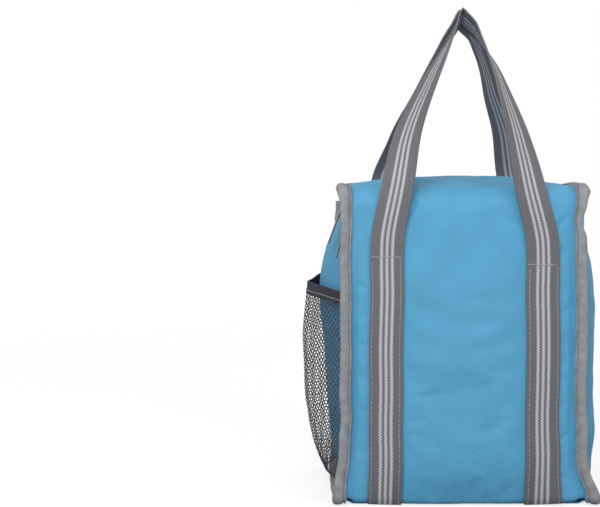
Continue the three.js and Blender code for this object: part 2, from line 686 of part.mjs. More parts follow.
function chainRow(way) {
  const sideLength = chainBackY - ZIP_CORNER - zipStartY - CLEARANCE;
  const backLength = 2 * (chainX - ZIP_CORNER);
  const up = new THREE.Vector3(0, 0, 1);
  const along = new THREE.Matrix4().makeBasis(
    new THREE.Vector3(0, 1, 0), up, new THREE.Vector3(1, 0, 0),
  );
  const acrossBack = new THREE.Matrix4().makeBasis(
    new THREE.Vector3(1, 0, 0), up, new THREE.Vector3(0, -1, 0),
  );
  const sides = [-1, 1].map((side) =>
    toothRow(sideLength, way)
      .applyMatrix4(along)
      .translate(side * chainX, zipStartY + CLEARANCE, chainHeight),
  );
  const back = toothRow(backLength, way)
    .applyMatrix4(acrossBack)
    .translate(-backLength / 2, chainBackY, chainHeight);
  return joinAll([...sides, back, cornerRow(-1, way), cornerRow(1, way)]);
}
addPiece("body_zip_teeth", chainRow(-1), teethGrey);
addPiece("lid_zip_teeth", chainRow(1), teethGrey);

// One end of the zipper seen from its side, as y and z: the chain comes forward, turns and
// runs down to its stop.
const turnY = chainFrontY + ZIP_TURN;
const turnZ = chainHeight - ZIP_TURN;
const endBackY = zipStartY - CLEARANCE;

// Adds the line at an offset from the chain's middle, positive on the front and upper side.
function followEnd(path, offset, endZ, outward) {
  const radius = ZIP_TURN + offset;
  const line = [[endBackY, chainHeight + offset]];
  for (const degrees of spread(90, 180, 4)) {
    const a = THREE.MathUtils.degToRad(degrees);
    line.push([turnY + radius * Math.cos(a), turnZ + radius * Math.sin(a)]);
  }
  line.push([chainFrontY - offset, endZ]);
  path.push(...(outward ? line : line.reverse()));
}

function endSolid(path, side, thickness) {
  const shape = new THREE.Shape(path.map(([y, z]) => new THREE.Vector2(y, z)));
  const upright = new THREE.Matrix4().makeBasis(
    new THREE.Vector3(0, 1, 0), new THREE.Vector3(0, 0, 1), new THREE.Vector3(1, 0, 0),
  );
  return extruded(shape, thickness)
    .translate(0, 0, -thickness / 2)
    .applyMatrix4(upright)
    .translate(side * chainX, 0, 0);
}

function endTape(side, drop) {
  const endZ = BODY_HEIGHT - drop;
  const low = endZ - END_TAB - 2;
  const front = -(halfDepth - SHELL - CLEARANCE);
  const radius = TOP_ROUND - SHELL - CLEARANCE;
  const path = [[endBackY, low], [front, low]];
  for (const degrees of spread(180, 110, 4)) {
    const a = THREE.MathUtils.degToRad(degrees);
    path.push([hingeY + radius * Math.cos(a), BODY_HEIGHT - TOP_ROUND + radius * Math.sin(a)]);
  }
  path.push([hingeY, tapeTop], [endBackY, tapeTop]);
  followEnd(path, rowFoot, endZ - CLEARANCE, true);
  followEnd(path, -rowFoot, endZ - CLEARANCE, false);
  return endSolid(path, side, TAPE);
}

function endTeeth(side, drop) {
  const endZ = BODY_HEIGHT - drop;
  const path = [];
  followEnd(path, CHAIN_HALF, endZ, true);
  followEnd(path, -CHAIN_HALF, endZ, false);
  followEnd(path, -CHAIN_GAP, endZ + 2, true);
  followEnd(path, CHAIN_GAP, endZ + 2, false);
  return endSolid(path, side, CHAIN_THICKNESS);
}
for (const [word, side, drop] of [["left", -1, LEFT_END_DROP], ["right", 1, RIGHT_END_DROP]]) {
  addPiece(`${word}_zip_end_tape`, endTape(side, drop), tapeGrey);
  addPiece(`${word}_zip_end_teeth`, endTeeth(side, drop), teethGrey);
}

// Sliders, one on the lid's edge and one on the left end, with their pulls

const plateAt = CHAIN_THICKNESS / 2 + SLIDER_PLAY + SLIDER_PLATE / 2;
const plateFace = plateAt + SLIDER_PLATE / 2;
const bridgeClear = BRIDGE_RISE - BRIDGE_BAR;

// Built about the chain's middle with its outside to -X and the chain along Y.
function slider() {
  const plate = new THREE.Shape();
  const [l, w] = [SLIDER_LENGTH / 2, SLIDER_WIDTH / 2];
  plate.setFromPoints(
    [[-l, -w + 1], [-l + 2, -w], [l - 5, -w], [l, -w + 2], [l, w - 2], [l - 5, w], [-l + 2, w], [-l, w - 1]]
      .map(([a, b]) => new THREE.Vector2(a, b)),
  );
  const upright = new THREE.Matrix4().makeBasis(
    new THREE.Vector3(0, 1, 0), new THREE.Vector3(0, 0, 1), new THREE.Vector3(1, 0, 0),
  );
  const plates = [-1, 1].map((side) =>
    extruded(plate, SLIDER_PLATE)
      .translate(0, 0, side * plateAt - SLIDER_PLATE / 2)
      .applyMatrix4(upright),
  );
  const divider = block([2 * plateAt, SLIDER_LENGTH / 3, CHAIN_GAP], [0, 0, 0]);
  const feet = [-1, 1].map((end) =>
    block(
      [BRIDGE_RISE + 0.2, BRIDGE_BAR, BRIDGE_WIDTH],
      [-(plateFace + (BRIDGE_RISE - 0.2) / 2), (end * (BRIDGE_SPAN - BRIDGE_BAR)) / 2, 0],
    ),
  );
  const bar = block(
    [BRIDGE_BAR, BRIDGE_SPAN, BRIDGE_WIDTH],
    [-(plateFace + BRIDGE_RISE - BRIDGE_BAR / 2), 0, 0],
  );
  return joinAll([...plates, divider, ...feet, bar]);
}

// A flat tab hanging from the middle of its top bar, its faces to the sides.
function pullTab() {
  const half = PULL_WIDTH / 2;
  const shape = roundedRectangle(-half, PULL_BAR / 2 - PULL_LENGTH, half, PULL_BAR / 2, 1.5);
  const [wide, long] = PULL_WINDOW;
  const top = -PULL_BAR / 2;
  shape.holes.push(roundedRectangle(-wide / 2, top - long, wide / 2, top, 0.8, new THREE.Path()));
  const upright = new THREE.Matrix4().makeBasis(
    new THREE.Vector3(0, 1, 0), new THREE.Vector3(0, 0, 1), new THREE.Vector3(1, 0, 0),
  );
  return extruded(shape, PULL_THICKNESS, 2)
    .translate(0, 0, -PULL_THICKNESS / 2)
    .applyMatrix4(upright);
}

const topSliderY = -(halfDepth - TOP_SLIDER_SETBACK);
addPiece("top_slider", slider().translate(-chainX, topSliderY, chainHeight), nickel);
const ringX = -(chainX + plateFace + bridgeClear / 2 + RING_RADIUS);
const ring = new THREE.TorusGeometry(RING_RADIUS, RING_WIRE, 8, 20).rotateX(Math.PI / 2);
addPiece("top_pull_ring", ring.translate(ringX, topSliderY, chainHeight), nickel);
const hang = RING_RADIUS - RING_WIRE - CLEARANCE - PULL_BAR / 2;
const topTab = pullTab().translate(0, 0, -hang).rotateY(TOP_PULL_TILT);
addPiece("top_pull_tab", topTab.translate(ringX, topSliderY, chainHeight), nickel);

const endSliderZ = BODY_HEIGHT - END_SLIDER_DROP;
const endSlider = slider().rotateX(Math.PI / 2);
addPiece("end_slider", endSlider.translate(-chainX, chainFrontY, endSliderZ), nickel);
const endTab = pullTab().rotateY(END_PULL_TILT);
const endPullX = -(chainX + plateFace + bridgeClear / 2);
addPiece("end_pull_tab", endTab.translate(endPullX, chainFrontY, endSliderZ), nickel);

export default bag;
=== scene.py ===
"""Insulated lunch bag: sewn shell, edge bindings, striped webbing, net pocket, zipper, lining and stage."""

import math
from types import SimpleNamespace

import bpy
import numpy as np
from bpy.props import FloatProperty, FloatVectorProperty, PointerProperty
from bpy.types import Operator, Panel, PropertyGroup
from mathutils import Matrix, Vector, noise


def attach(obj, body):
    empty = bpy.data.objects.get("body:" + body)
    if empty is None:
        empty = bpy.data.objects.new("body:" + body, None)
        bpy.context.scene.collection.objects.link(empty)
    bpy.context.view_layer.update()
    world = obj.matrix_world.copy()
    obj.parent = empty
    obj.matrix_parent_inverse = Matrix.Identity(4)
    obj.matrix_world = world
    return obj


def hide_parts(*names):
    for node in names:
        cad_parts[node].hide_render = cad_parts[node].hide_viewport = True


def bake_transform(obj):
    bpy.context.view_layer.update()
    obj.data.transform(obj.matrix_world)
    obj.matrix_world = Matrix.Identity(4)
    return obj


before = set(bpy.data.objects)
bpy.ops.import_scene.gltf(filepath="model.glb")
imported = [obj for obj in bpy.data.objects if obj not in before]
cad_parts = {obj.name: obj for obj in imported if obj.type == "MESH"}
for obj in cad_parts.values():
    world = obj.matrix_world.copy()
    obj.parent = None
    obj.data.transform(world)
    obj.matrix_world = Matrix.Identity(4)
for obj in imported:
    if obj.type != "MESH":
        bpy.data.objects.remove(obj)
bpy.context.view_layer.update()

bl_info = {
    "name": "Lunch Bag",
    "version": (1, 0, 0),
    "blender": (4, 5, 0),
    "location": "View3D > Sidebar > Lunch Bag",
    "description": "Sews an insulated lunch bag round its solid frame and sets the stage",
    "category": "Add Mesh",
}

MM = 0.001
BODY = "bag_body"
SIDES = ((-1, "left"), (1, "right"))
FACINGS = ((-1, "front"), (1, "back"))


def linear(code):
    """An sRGB hex value as a linear colour with alpha."""
    parts = [int(code[i:i + 2], 16) / 255 for i in (1, 3, 5)]
    return (*[p / 12.92 if p <= 0.04045 else ((p + 0.055) / 1.055) ** 2.4 for p in parts], 1.0)


class BagSizes(PropertyGroup):
    """Sizes of the sewn bag, those of its solid frame."""

    seam_width: FloatProperty(name="Seam width", description="Between the two side seams",
                              default=0.200, min=0.15, max=0.3, unit="LENGTH")
    seam_depth: FloatProperty(name="Seam depth", description="Front seam to back seam",
                              default=0.150, min=0.1, max=0.25, unit="LENGTH")
    body_height: FloatProperty(name="Body height", description="Floor to the lid's edge",
                               default=0.293, min=0.2, max=0.4, unit="LENGTH")
    front_bulge: FloatProperty(name="Front bulge", description="How far the front panel swells",
                               default=0.012, min=0, max=0.03, unit="LENGTH")
    back_bulge: FloatProperty(name="Back bulge", description="How far the back panel swells",
                              default=0.008, min=0, max=0.03, unit="LENGTH")
    side_bulge: FloatProperty(name="Side bulge", description="How far the side panels swell",
                              default=0.032, min=0, max=0.05, unit="LENGTH")
    lid_crown: FloatProperty(name="Lid crown", description="How far the lid's middle rises",
                             default=0.006, min=0, max=0.03, unit="LENGTH")
    webbing_width: FloatProperty(name="Webbing width", description="Across the handle webbing",
                                 default=0.030, min=0.02, max=0.05, unit="LENGTH")
    webbing_spacing: FloatProperty(name="Webbing spacing", description="Between the middles of the two runs",
                                   default=0.138, min=0.1, max=0.18, unit="LENGTH")
    tack_height: FloatProperty(name="Tack height", description="Floor to the bar tacks",
                               default=0.232, min=0.15, max=0.26, unit="LENGTH")
    handle_top: FloatProperty(name="Handle top", description="Floor to the top of the loops",
                              default=0.457, min=0.36, max=0.5, unit="LENGTH")
    pocket_height: FloatProperty(name="Pocket height", description="Floor to the pocket's rim",
                                 default=0.196, min=0.1, max=0.24, unit="LENGTH")
    pocket_standoff: FloatProperty(name="Pocket standoff", description="How far the pocket stands off the side",
                                   default=0.0130, min=0.005, max=0.04, unit="LENGTH")
    net_pitch: FloatProperty(name="Net pitch", description="Across one hole of the pocket's net",
                             default=0.0034, min=0.003, max=0.012, unit="LENGTH")


class BagColours(PropertyGroup):
    """Colours of the bag's cloths, tapes and metal."""

    shell: FloatVectorProperty(name="Shell", description="Outer cloth", subtype="COLOR", size=4,
                               min=0, max=1, default=linear("#5aa7d0"))
    binding: FloatVectorProperty(name="Binding", description="Folded edge tape", subtype="COLOR", size=4,
                                 min=0, max=1, default=linear("#96989b"))
    webbing: FloatVectorProperty(name="Webbing", description="Handle webbing's ground", subtype="COLOR", size=4,
                                 min=0, max=1, default=linear("#67676c"))
    stripe: FloatVectorProperty(name="Stripe", description="Handle webbing's stripes", subtype="COLOR", size=4,
                                min=0, max=1, default=linear("#bfbfc5"))
    net: FloatVectorProperty(name="Net", description="Pocket net", subtype="COLOR", size=4,
                             min=0, max=1, default=linear("#4e4f55"))
    rim: FloatVectorProperty(name="Rim", description="Pocket's elastic edge", subtype="COLOR", size=4,
                             min=0, max=1, default=linear("#3b3a43"))
    zip_tape: FloatVectorProperty(name="Zip tape", description="Cloth tape of the zipper", subtype="COLOR", size=4,
                                  min=0, max=1, default=linear("#8b8d91"))
    zip_teeth: FloatVectorProperty(name="Zip teeth", description="Moulded chain of the zipper", subtype="COLOR",
                                   size=4, min=0, max=1, default=linear("#77797d"))
    metal: FloatVectorProperty(name="Metal", description="Plating of the sliders and pulls", subtype="COLOR",
                               size=4, min=0, max=1, default=linear("#6c6d70"))
    lining: FloatVectorProperty(name="Lining", description="Silvered film inside", subtype="COLOR", size=4,
                                min=0, max=1, default=linear("#d3d5d8"))
    thread: FloatVectorProperty(name="Thread", description="Sewing thread", subtype="COLOR", size=4,
                                min=0, max=1, default=linear("#a9aaae"))


def sizes_mm(context):
    """The sizes in millimetres, by name."""
    group = context.scene.lunch_bag_sizes
    return SimpleNamespace(**{name: getattr(group, name) / MM for name in BagSizes.__annotations__})


def node(tree, kind, *inputs, named=None, **settings):
    """Adds a shader node: an input given as a node or socket is linked, any other is set."""
    made = tree.nodes.new("ShaderNode" + kind)
    for key, value in settings.items():
        setattr(made, key, value)
    for key, value in [*enumerate(inputs), *(named or {}).items()]:
        if value is None:
            continue
        if isinstance(value, bpy.types.Node):
            value = value.outputs[0]
        if isinstance(value, bpy.types.NodeSocket):
            tree.links.new(value, made.inputs[key])
        else:
            made.inputs[key].default_value = value
    return made


def new_material(name, colour, **sockets):
    """A material of one Principled shader with its constant sockets set; gives it, its tree and the shader."""
    material = bpy.data.materials.new(name)
    material.use_nodes = True
    material.diffuse_color = colour
    tree = material.node_tree
    shader = tree.nodes["Principled BSDF"]
    shader.inputs["Base Color"].default_value = colour
    for key, value in sockets.items():
        shader.inputs[key.replace("_", " ")].default_value = value
    return material, tree, shader


def wave(tree, value, pitch):
    """A sine wave of the value, one turn to each pitch."""
    turns = node(tree, "Math", value, 2 * math.pi / pitch, operation="MULTIPLY")
    return node(tree, "Math", turns, operation="SINE")


def dress(tree, shader, colour, tone, height, strength, deep):
    """Gives the shader the colour times the tone, and a relief that is deep in millimetres."""
    dyed = node(tree, "VectorMath", colour, None, None, tone, operation="SCALE")
    tree.links.new(dyed.outputs[0], shader.inputs["Base Color"])
    bump = node(tree, "Bump", named={"Strength": strength, "Distance": deep * MM, "Height": height})
    tree.links.new(bump.outputs[0], shader.inputs["Normal"])


def weave(tree, shader, colour, pitches, tones, cloud, strength, deep):
    """Dresses the shader in threads that cross at the two pitches, with slow light and dark over them."""
    place = node(tree, "UVMap", uv_map="cloth")
    flat = node(tree, "SeparateXYZ", place)
    u, v = flat.outputs["X"], flat.outputs["Y"]
    threads = node(tree, "Math", wave(tree, u, pitches[0]), wave(tree, v, pitches[1]), operation="MULTIPLY")
    shade = node(tree, "MapRange", threads, -1.0, 1.0, *tones)
    noise_scale, detail, low, high = cloud
    drift = node(tree, "TexNoise", place, named={"Scale": noise_scale, "Detail": detail})
    drift = node(tree, "MapRange", drift, 0.3, 0.7, low, high)
    tone = node(tree, "Math", shade, drift, operation="MULTIPLY")
    dress(tree, shader, colour[:3], tone, threads, strength, deep)


def shell_material(colour):
    """Coated polyester: a fine diagonal weave that reads as rows of small dots, with a soft dull sheen."""
    material, tree, shader = new_material("coated polyester weave", colour, Roughness=0.6, Specular_IOR_Level=0.3)
    # The real thread is about 0.5 mm; its dots are drawn 2.6 mm apart, the finest that the picture can hold.
    weave(tree, shader, colour, (2.6, 2.6), (0.78, 1.18), (0.035, 3.0, 0.96, 1.05), 0.5, 0.5)
    return material


def tape_material(name, colour, pitch, depth, roughness=0.78):
    """Woven narrow tape: close ribs across it, a little light and dark between them, dull and dry."""
    material, tree, shader = new_material(name, colour, Roughness=roughness, Specular_IOR_Level=0.25)
    weave(tree, shader, colour, (pitch * 1.3, pitch), (1 - depth, 1 + depth), (0.12, 4.0, 0.82, 1.14), 0.4, 0.3)
    return material


def webbing_material(ground, stripe):
    """Polypropylene webbing: ribbed dark ground and three pale stripes with saw-toothed edges."""
    material, tree, shader = new_material("polypropylene webbing", ground, Roughness=0.62)
    place = node(tree, "UVMap", uv_map="cloth")
    flat = node(tree, "SeparateXYZ", place)
    u, v = flat.outputs["X"], flat.outputs["Y"]
    # Ribs of 1.5 mm and saw teeth of 2.6 mm: the real ones, about 1 and 1.8 mm, would blur away in the picture.
    ribs, picks = wave(tree, u, 1.5), wave(tree, v, 2.6)
    tooth, apart, striped = 0.55, 4.9, 7.2
    swung = node(tree, "Math", picks, tooth, u, operation="MULTIPLY_ADD")
    wrapped = node(tree, "Math", swung, apart / 2, -apart / 2, operation="WRAP")
    band = node(tree, "MapRange", node(tree, "Math", wrapped, operation="ABSOLUTE"), 1.0, 1.5, 1.0, 0.0)
    middle = node(tree, "Math", node(tree, "Math", u, operation="ABSOLUTE"), striped, operation="LESS_THAN")
    stripes = node(tree, "Math", band, middle, operation="MULTIPLY")
    mixed = node(tree, "Mix", stripes, named={6: ground, 7: stripe}, data_type="RGBA")
    threads = node(tree, "Math", ribs, picks, operation="MULTIPLY")
    tone = node(tree, "MapRange", threads, -1.0, 1.0, 0.78, 1.18)
    dress(tree, shader, mixed.outputs[2], tone, threads, 0.45, 0.4)
    return material


def metal_material(name, colour, roughness):
    """Nickel plate: bright and smooth, dulled in small patches by handling."""
    material, tree, shader = new_material(name, colour, Metallic=1.0)
    place = node(tree, "TexCoord").outputs["Object"]
    wear = node(tree, "TexNoise", place, named={"Scale": 160.0, "Detail": 4.0})
    dull = node(tree, "MapRange", wear, 0.3, 0.7, roughness * 0.8, roughness * 1.3)
    tree.links.new(dull.outputs[0], shader.inputs["Roughness"])
    return material


def speckled_material(name, colour, scale, depth, bump_mm, **sockets):
    """Moulded, foamed or filmed stuff: a soft mottle of the given grain over one colour."""
    material, tree, shader = new_material(name, colour, **sockets)
    place = node(tree, "TexCoord").outputs["Object"]
    grain = node(tree, "TexNoise", place, named={"Scale": scale, "Detail": 3.0})
    tone = node(tree, "MapRange", grain, 0.3, 0.7, 1 - depth, 1 + depth)
    dress(tree, shader, colour[:3], tone, grain, 0.5, bump_mm)
    return material


# The sewn form in millimetres.
SEAM_FLOOR = 2.8  # the lowest seams above the floor
BOTTOM_ROUND = 6.0  # front and back turning under the base
TOP_ROUND = 18.0  # front turning over on to the lid
BELLY = 50.0  # height at which front and back are fullest
BASE_SAG = 2.0  # front and back sinking between the base's corners
ZIP_BAND = 22.0  # height of the zipper below the lid's edge
ZIP_ENDS = {-1: 42, 1: 83}  # its left and right end below that edge
ZIP_STRIP = 0.144  # a side's flat strip beside a zip end, as a share of the half depth
ZIP_NOTCH = -0.7246  # edge of the side's cut there, likewise
FRAME_BASE = 11.0  # the frame's base inside front and back seams
CLOTH = 1.0  # thickness
SEAM_CLOTH = 1.45  # front's cloth to side's cloth within a seam
SEAM_LEAN = math.radians(25)  # allowance turned to the front or back
ALLOWANCE = 8.0  # cloth beyond a seam
VALLEY = 2.8  # furrow of the front beside its seams
LID_CORNER = 24.0  # radius of the lid's back corners
LID_DROOP = 4.5  # sinking of the lid's back
LID_TAPE_START = 6.5  # bare front ends of the lid's edge, room for it to open
TACK_DROP = 7.0  # the right tacks below the left ones
STRAP_LIFT = 1.6  # middle of the webbing above the seam's surface
STRAP_THICK = 1.5
STRAP_PASSING = {-1: 3.7, 1: 17.7}  # front and back loop outside the seams at the lid's edge
HANDLE_TIP = math.radians(31)  # lean of the loops' tops against each other
HANDLE_TURN = 1.36  # webbing's turn on edge below the loops' tops, in radians
RIGHT_TACK_ASIDE = 3.3  # the front's right run outside its true place at the tack
RIGHT_FOOT_ASIDE = 1.9  # more at its foot
POCKET_HALF = 68.6  # half the pocket's width
POCKET_FOOT = 15.0  # floor to the net's foot
RIM_WIDTH, RIM_THICK = 12.0, 1.8  # the pocket's edge band
TUB_FLOOR = 8.8  # floor to the lining's bottom

# Spread of the side seams near the floor: millimetres, and the heights between which it fades.
SEAM_FLARES = {-1: ((4, 0, 80),), 1: ((1.8, 150, 230), (3, 40, 85), (10, 0, 40))}
RIGHT_SEAM_OUT = 1.6
# Swell of a side: its lowest height, and the powers that shape its foot, its head and its run across.
SIDE_FORMS = {-1: (11, 4.0, 3.6, 1.9), 1: (-4, 6.0, 4.2, 2.5)}
# Swell of the pocket: heights and shares.
POCKET_BELLY = ((4, 12, 28, 42, 62, 85, 150, 184, 202), (0.2, 0.38, 0.56, 0.69, 0.83, 0.93, 0.98, 0.91, 0.85))
# Half of a folded tape's section: from the seam outwards, and shares of its half thickness.
TAPE_SECTION = [(1.0, 0.72), (2.2, 0.98), (3.2, 0.55), (4.6, 0.95),
                (7.0, 1.05), (9.4, 0.98), (11.2, 0.66), (12.1, 0.0)]
TAPE_STITCH = (2.2, 1.1, 0.32)  # length, gap and radius

# Creases of the front: place across and along, length, degrees, depth and width.
FRONT_CREASES = (
    (-27, 106, 36, 4, -0.6, 1.5), (-38, 83, 20, 6, -0.6, 1.4), (34, 128, 22, 12, -0.6, 1.5),
    (45, 221, 14, 4, -0.5, 1.4), (-44, 70, 9, -20, -0.6, 1.6), (-43, 48, 10, 24, -0.6, 1.6),
    (-93, 205, 20, -28, -1.3, 2.2), (-92, 150, 18, 18, -1.2, 2.2), (-93, 92, 18, -22, -1.2, 2.2),
    (92, 182, 22, 26, -1.3, 2.2), (93, 120, 20, -24, -1.3, 2.2), (92, 66, 22, 28, -1.4, 2.4),
    (93, 26, 20, -34, -1.4, 2.4), (-60, 268, 30, 8, -0.9, 3.0), (52, 262, 34, -10, -0.9, 3.0),
    (88, 262, 26, 48, -1.6, 3.0),
)

SETTLE_FRAMES = 24
# A stiff light cloth cut half a percent large and pushed out softly by its padding.
SETTLING = {
    "quality": 6, "mass": 0.12, "tension_stiffness": 30, "compression_stiffness": 18, "shear_stiffness": 8,
    "bending_stiffness": 2.5, "air_damping": 4, "vertex_group_mass": "sewn", "shrink_min": -0.005,
    "use_pressure": True, "uniform_pressure_force": 0.3,
}


def fullness(s):
    """A padded panel's swell: 1 in the middle, 0 at its edges."""
    return 1 - np.minimum(1, np.abs(s)) ** 2.5


def smooth(t, low, high):
    """Smooth step of t between low and high."""
    x = np.clip((t - low) / (high - low), 0, 1)
    return x * x * (3 - 2 * x)


def ripple(seed, a, b, size):
    """Smooth noise from -1 to 1 at the flat place a, b in millimetres, with lumps of the given size."""
    return noise.noise(Vector((a / size, b / size, seed)))


def ripples(a, b, *layers):
    """Several ripples together, each given as its height, seed and lump size."""
    return sum(height * ripple(seed, a, b, size) for height, seed, size in layers)


def creases(places, a, b):
    """Depth in millimetres at a, b of short soft creases, each a little bowed."""
    depth = 0.0
    for ca, cb, length, degrees, deep, width in places:
        turn = math.radians(degrees)
        along = (a - ca) * math.cos(turn) + (b - cb) * math.sin(turn)
        away = (b - cb) * math.cos(turn) - (a - ca) * math.sin(turn) - 0.02 * along * along / max(6, length)
        depth += deep * math.exp(-((away / width) ** 2)) * max(0.0, 1 - (2 * along / length) ** 2)
    return depth


def lengths(points):
    """How far along a line of points each of them lies."""
    return np.concatenate([[0], np.cumsum(np.linalg.norm(np.diff(points, axis=0), axis=1))])


def point_at(points, run, s):
    """The place at the length s on a line of points, or the places at several lengths."""
    return np.stack([np.interp(s, run, column) for column in np.transpose(points)], axis=-1)


def quarter(count):
    """Angles of a quarter turn."""
    return np.radians(np.linspace(0, 90, count))


def seam_line(size, facing):
    """Rows of a panel's seam from the floor up: length along it, y, z and the outward normal."""
    half = size.seam_depth / 2
    rows = [(facing * (half - BOTTOM_ROUND + BOTTOM_ROUND * math.sin(a)),
             SEAM_FLOOR + BOTTOM_ROUND * (1 - math.cos(a)), facing * math.sin(a), -math.cos(a))
            for a in quarter(13)]
    top = size.body_height - (TOP_ROUND if facing < 0 else ZIP_BAND)
    rows += [(facing * half, z, facing, 0.0) for z in np.linspace(SEAM_FLOOR + BOTTOM_ROUND, top, 60)[1:]]
    if facing < 0:
        rows += [(-(half - TOP_ROUND + TOP_ROUND * math.cos(a)), top + TOP_ROUND * math.sin(a), -math.cos(a),
                  math.sin(a)) for a in quarter(13)[1:]]
    rows = np.array(rows)
    return np.column_stack([lengths(rows[:, :2]), rows])


def seam_at(line, s):
    """The seam's y, z and normal at the length s."""
    return point_at(line[:, 1:], line[:, 0], s)


def tack_length(size, line):
    """The length along a seam at which the webbing is tacked."""
    return np.interp(size.tack_height, line[:, 2], line[:, 0])


def seam_half(size, z, side):
    """How far a side seam lies from the middle: the stiff base spreads its foot, more so on the right."""
    spread = RIGHT_SEAM_OUT if side > 0 else 0.0
    for flare, low, high in SEAM_FLARES[1 if side > 0 else -1]:
        spread += flare * (1 - smooth(z, low, high))
    return size.seam_width / 2 + spread


def seam_frame(size, side, y, z, ny, nz):
    """The seam's place and the directions of its allowance and across it."""
    lean = SEAM_LEAN * ny * ny
    flange = np.array([side * math.cos(lean), ny * math.sin(lean), nz * math.sin(lean)])
    across = np.array([side * math.sin(lean), -ny * math.cos(lean), -nz * math.cos(lean)])
    return np.array([side * seam_half(size, z, side), y, z]), flange, across


def wrap_point(size, facing, x, seam, lift=0.0):
    """A place on the front or back panel; beyond the side seams it lies in the seam's allowance."""
    y, z, ny, nz = seam
    half = size.seam_width / 2
    if abs(x) > half:
        at, flange, across = seam_frame(size, math.copysign(1, x), y, z, ny, nz)
        return at + flange * (abs(x) - half) - across * lift
    top = size.body_height - (0 if facing < 0 else ZIP_BAND)
    bulge = size.front_bulge if facing < 0 else size.back_bulge
    if z > BELLY:
        swell = 1 - ((z - BELLY) / (top - BELLY)) ** 2.5
    else:
        swell = 1 - ((BELLY - z) / (BELLY - SEAM_FLOOR)) ** 2
    edge = abs(x / half)
    out = bulge * fullness(x / half) * swell + lift
    spread = (seam_half(size, z, x) - half) * edge ** 10
    sag = BASE_SAG * (1 - edge ** 8) * (1 - smooth(z, SEAM_FLOOR, SEAM_FLOOR + 18))
    return np.array([x + math.copysign(spread, x), y + ny * out, z + nz * out - sag])


def lid_half(size, y, reach):
    """Half the lid's width at y, for an outline that lies the reach outside its seam."""
    half, back = size.seam_width / 2, size.seam_depth / 2
    over = max(0.0, y - (back - LID_CORNER))
    radius = LID_CORNER + reach
    return half - LID_CORNER + math.sqrt(max(0.0, radius * radius - over * over))


def lid_droop(y):
    """How far the soft lid has sunk at y, nothing at the front and most at the back."""
    return LID_DROOP * smooth(y, -45, 45)


def lid_point(size, x, y, lift=0.0):
    """A place on the lid, which swells from its seams to its middle."""
    front = -(size.seam_depth / 2 - TOP_ROUND)
    middle, half = (front + size.seam_depth / 2) / 2, (size.seam_depth / 2 - front) / 2
    crown = size.lid_crown * fullness(x / (size.seam_width / 2)) * fullness((y - middle) / half)
    return np.array([x, y, size.body_height + crown - lid_droop(y) + lift])


def seam_side(size, side, facing, z):
    """Where a side's cloth meets a seam, and the direction of the seam's allowance."""
    at, flange, across = seam_frame(size, side, facing * size.seam_depth / 2, z, facing, 0.0)
    return at + across * SEAM_CLOTH, flange


def side_point(size, side, u, z, lift=0.0):
    """A place on a side panel; u runs from -1 at the front seam to 1 at the back seam."""
    front, back = (seam_side(size, side, facing, z)[0] for facing in (-1, 1))
    share = (u - ZIP_STRIP) / (1 - ZIP_STRIP)
    low, foot, head, across = SIDE_FORMS[side]
    # The pocket draws the left side in below its rim; the right side sits full down to the floor.
    part = 0.64 + 0.26 * smooth(z, 110, 198) if side < 0 else 0.98
    top = size.body_height - ZIP_BAND
    level = np.clip((2 * z - low - top) / (top - low), -1, 1)
    swell = 1 - abs(level) ** (foot if level < 0 else head)
    swell *= 1 - min(1, abs(share)) ** across
    place = front + (back - front) * (u + 1) / 2
    place[0] += side * (size.side_bulge * part * swell + lift)
    return place


def select_only(obj):
    """Makes obj the one selected and active object."""
    bpy.ops.object.select_all(action="DESELECT")
    obj.select_set(True)
    bpy.context.view_layer.objects.active = obj


def apply_modifier(obj, kind, **settings):
    """Adds a modifier with its settings and applies it."""
    select_only(obj)
    bpy.ops.object.modifier_add(type=kind)
    modifier = obj.modifiers[-1]
    for key, value in settings.items():
        setattr(modifier, key, value)
    bpy.ops.object.modifier_apply(modifier=modifier.name)


def thicken(obj, thickness, offset=0):
    """Gives a sheet its thickness in millimetres, about its middle or, with the offset -1, inwards."""
    apply_modifier(obj, "SOLIDIFY", thickness=thickness * MM, offset=offset)


def finish_piece(obj, material, angle=40):
    """Gives a finished mesh its one material and its smooth shading."""
    obj.data.materials.clear()
    obj.data.materials.append(material)
    select_only(obj)
    bpy.ops.object.shade_smooth_by_angle(angle=math.radians(angle))
    return obj


def edit_mesh(obj, **steps):
    """Runs mesh operators over the whole piece, each given by its name with its settings."""
    select_only(obj)
    bpy.ops.object.mode_set(mode="EDIT")
    bpy.ops.mesh.select_all(action="SELECT")
    for step, settings in steps.items():
        getattr(bpy.ops.mesh, step)(**settings)
    bpy.ops.object.mode_set(mode="OBJECT")


def set_cuts(data, cuts):
    """Stores each point's place in the flat cut as texture coordinates."""
    layer = data.uv_layers.new(name="cloth")
    for loop in data.loops:
        layer.data[loop.index].uv = cuts[loop.vertex_index]


def cloth_grid(name, columns, rows, place):
    """A flat grid moved to place(u, v), u and v from 0 to 1, which gives a point and flat cut in millimetres."""
    bpy.ops.object.select_all(action="DESELECT")
    bpy.ops.mesh.primitive_grid_add(x_subdivisions=columns, y_subdivisions=rows, size=1, calc_uvs=False)
    obj = bpy.context.object
    obj.name = obj.data.name = name
    cuts = []
    for vertex in obj.data.vertices:
        point, cut = place(vertex.co.x + 0.5, vertex.co.y + 0.5)
        vertex.co = Vector(point) * MM
        cuts.append(cut)
    set_cuts(obj.data, cuts)
    return obj


def mesh_piece(name, points, faces, cuts):
    """A mesh from points in millimetres and faces, with its flat cut as texture coordinates."""
    data = bpy.data.meshes.new(name)
    data.from_pydata([Vector(p) * MM for p in points], [], faces)
    set_cuts(data, cuts)
    data.validate()
    obj = bpy.data.objects.new(name, data)
    bpy.context.scene.collection.objects.link(obj)
    return obj


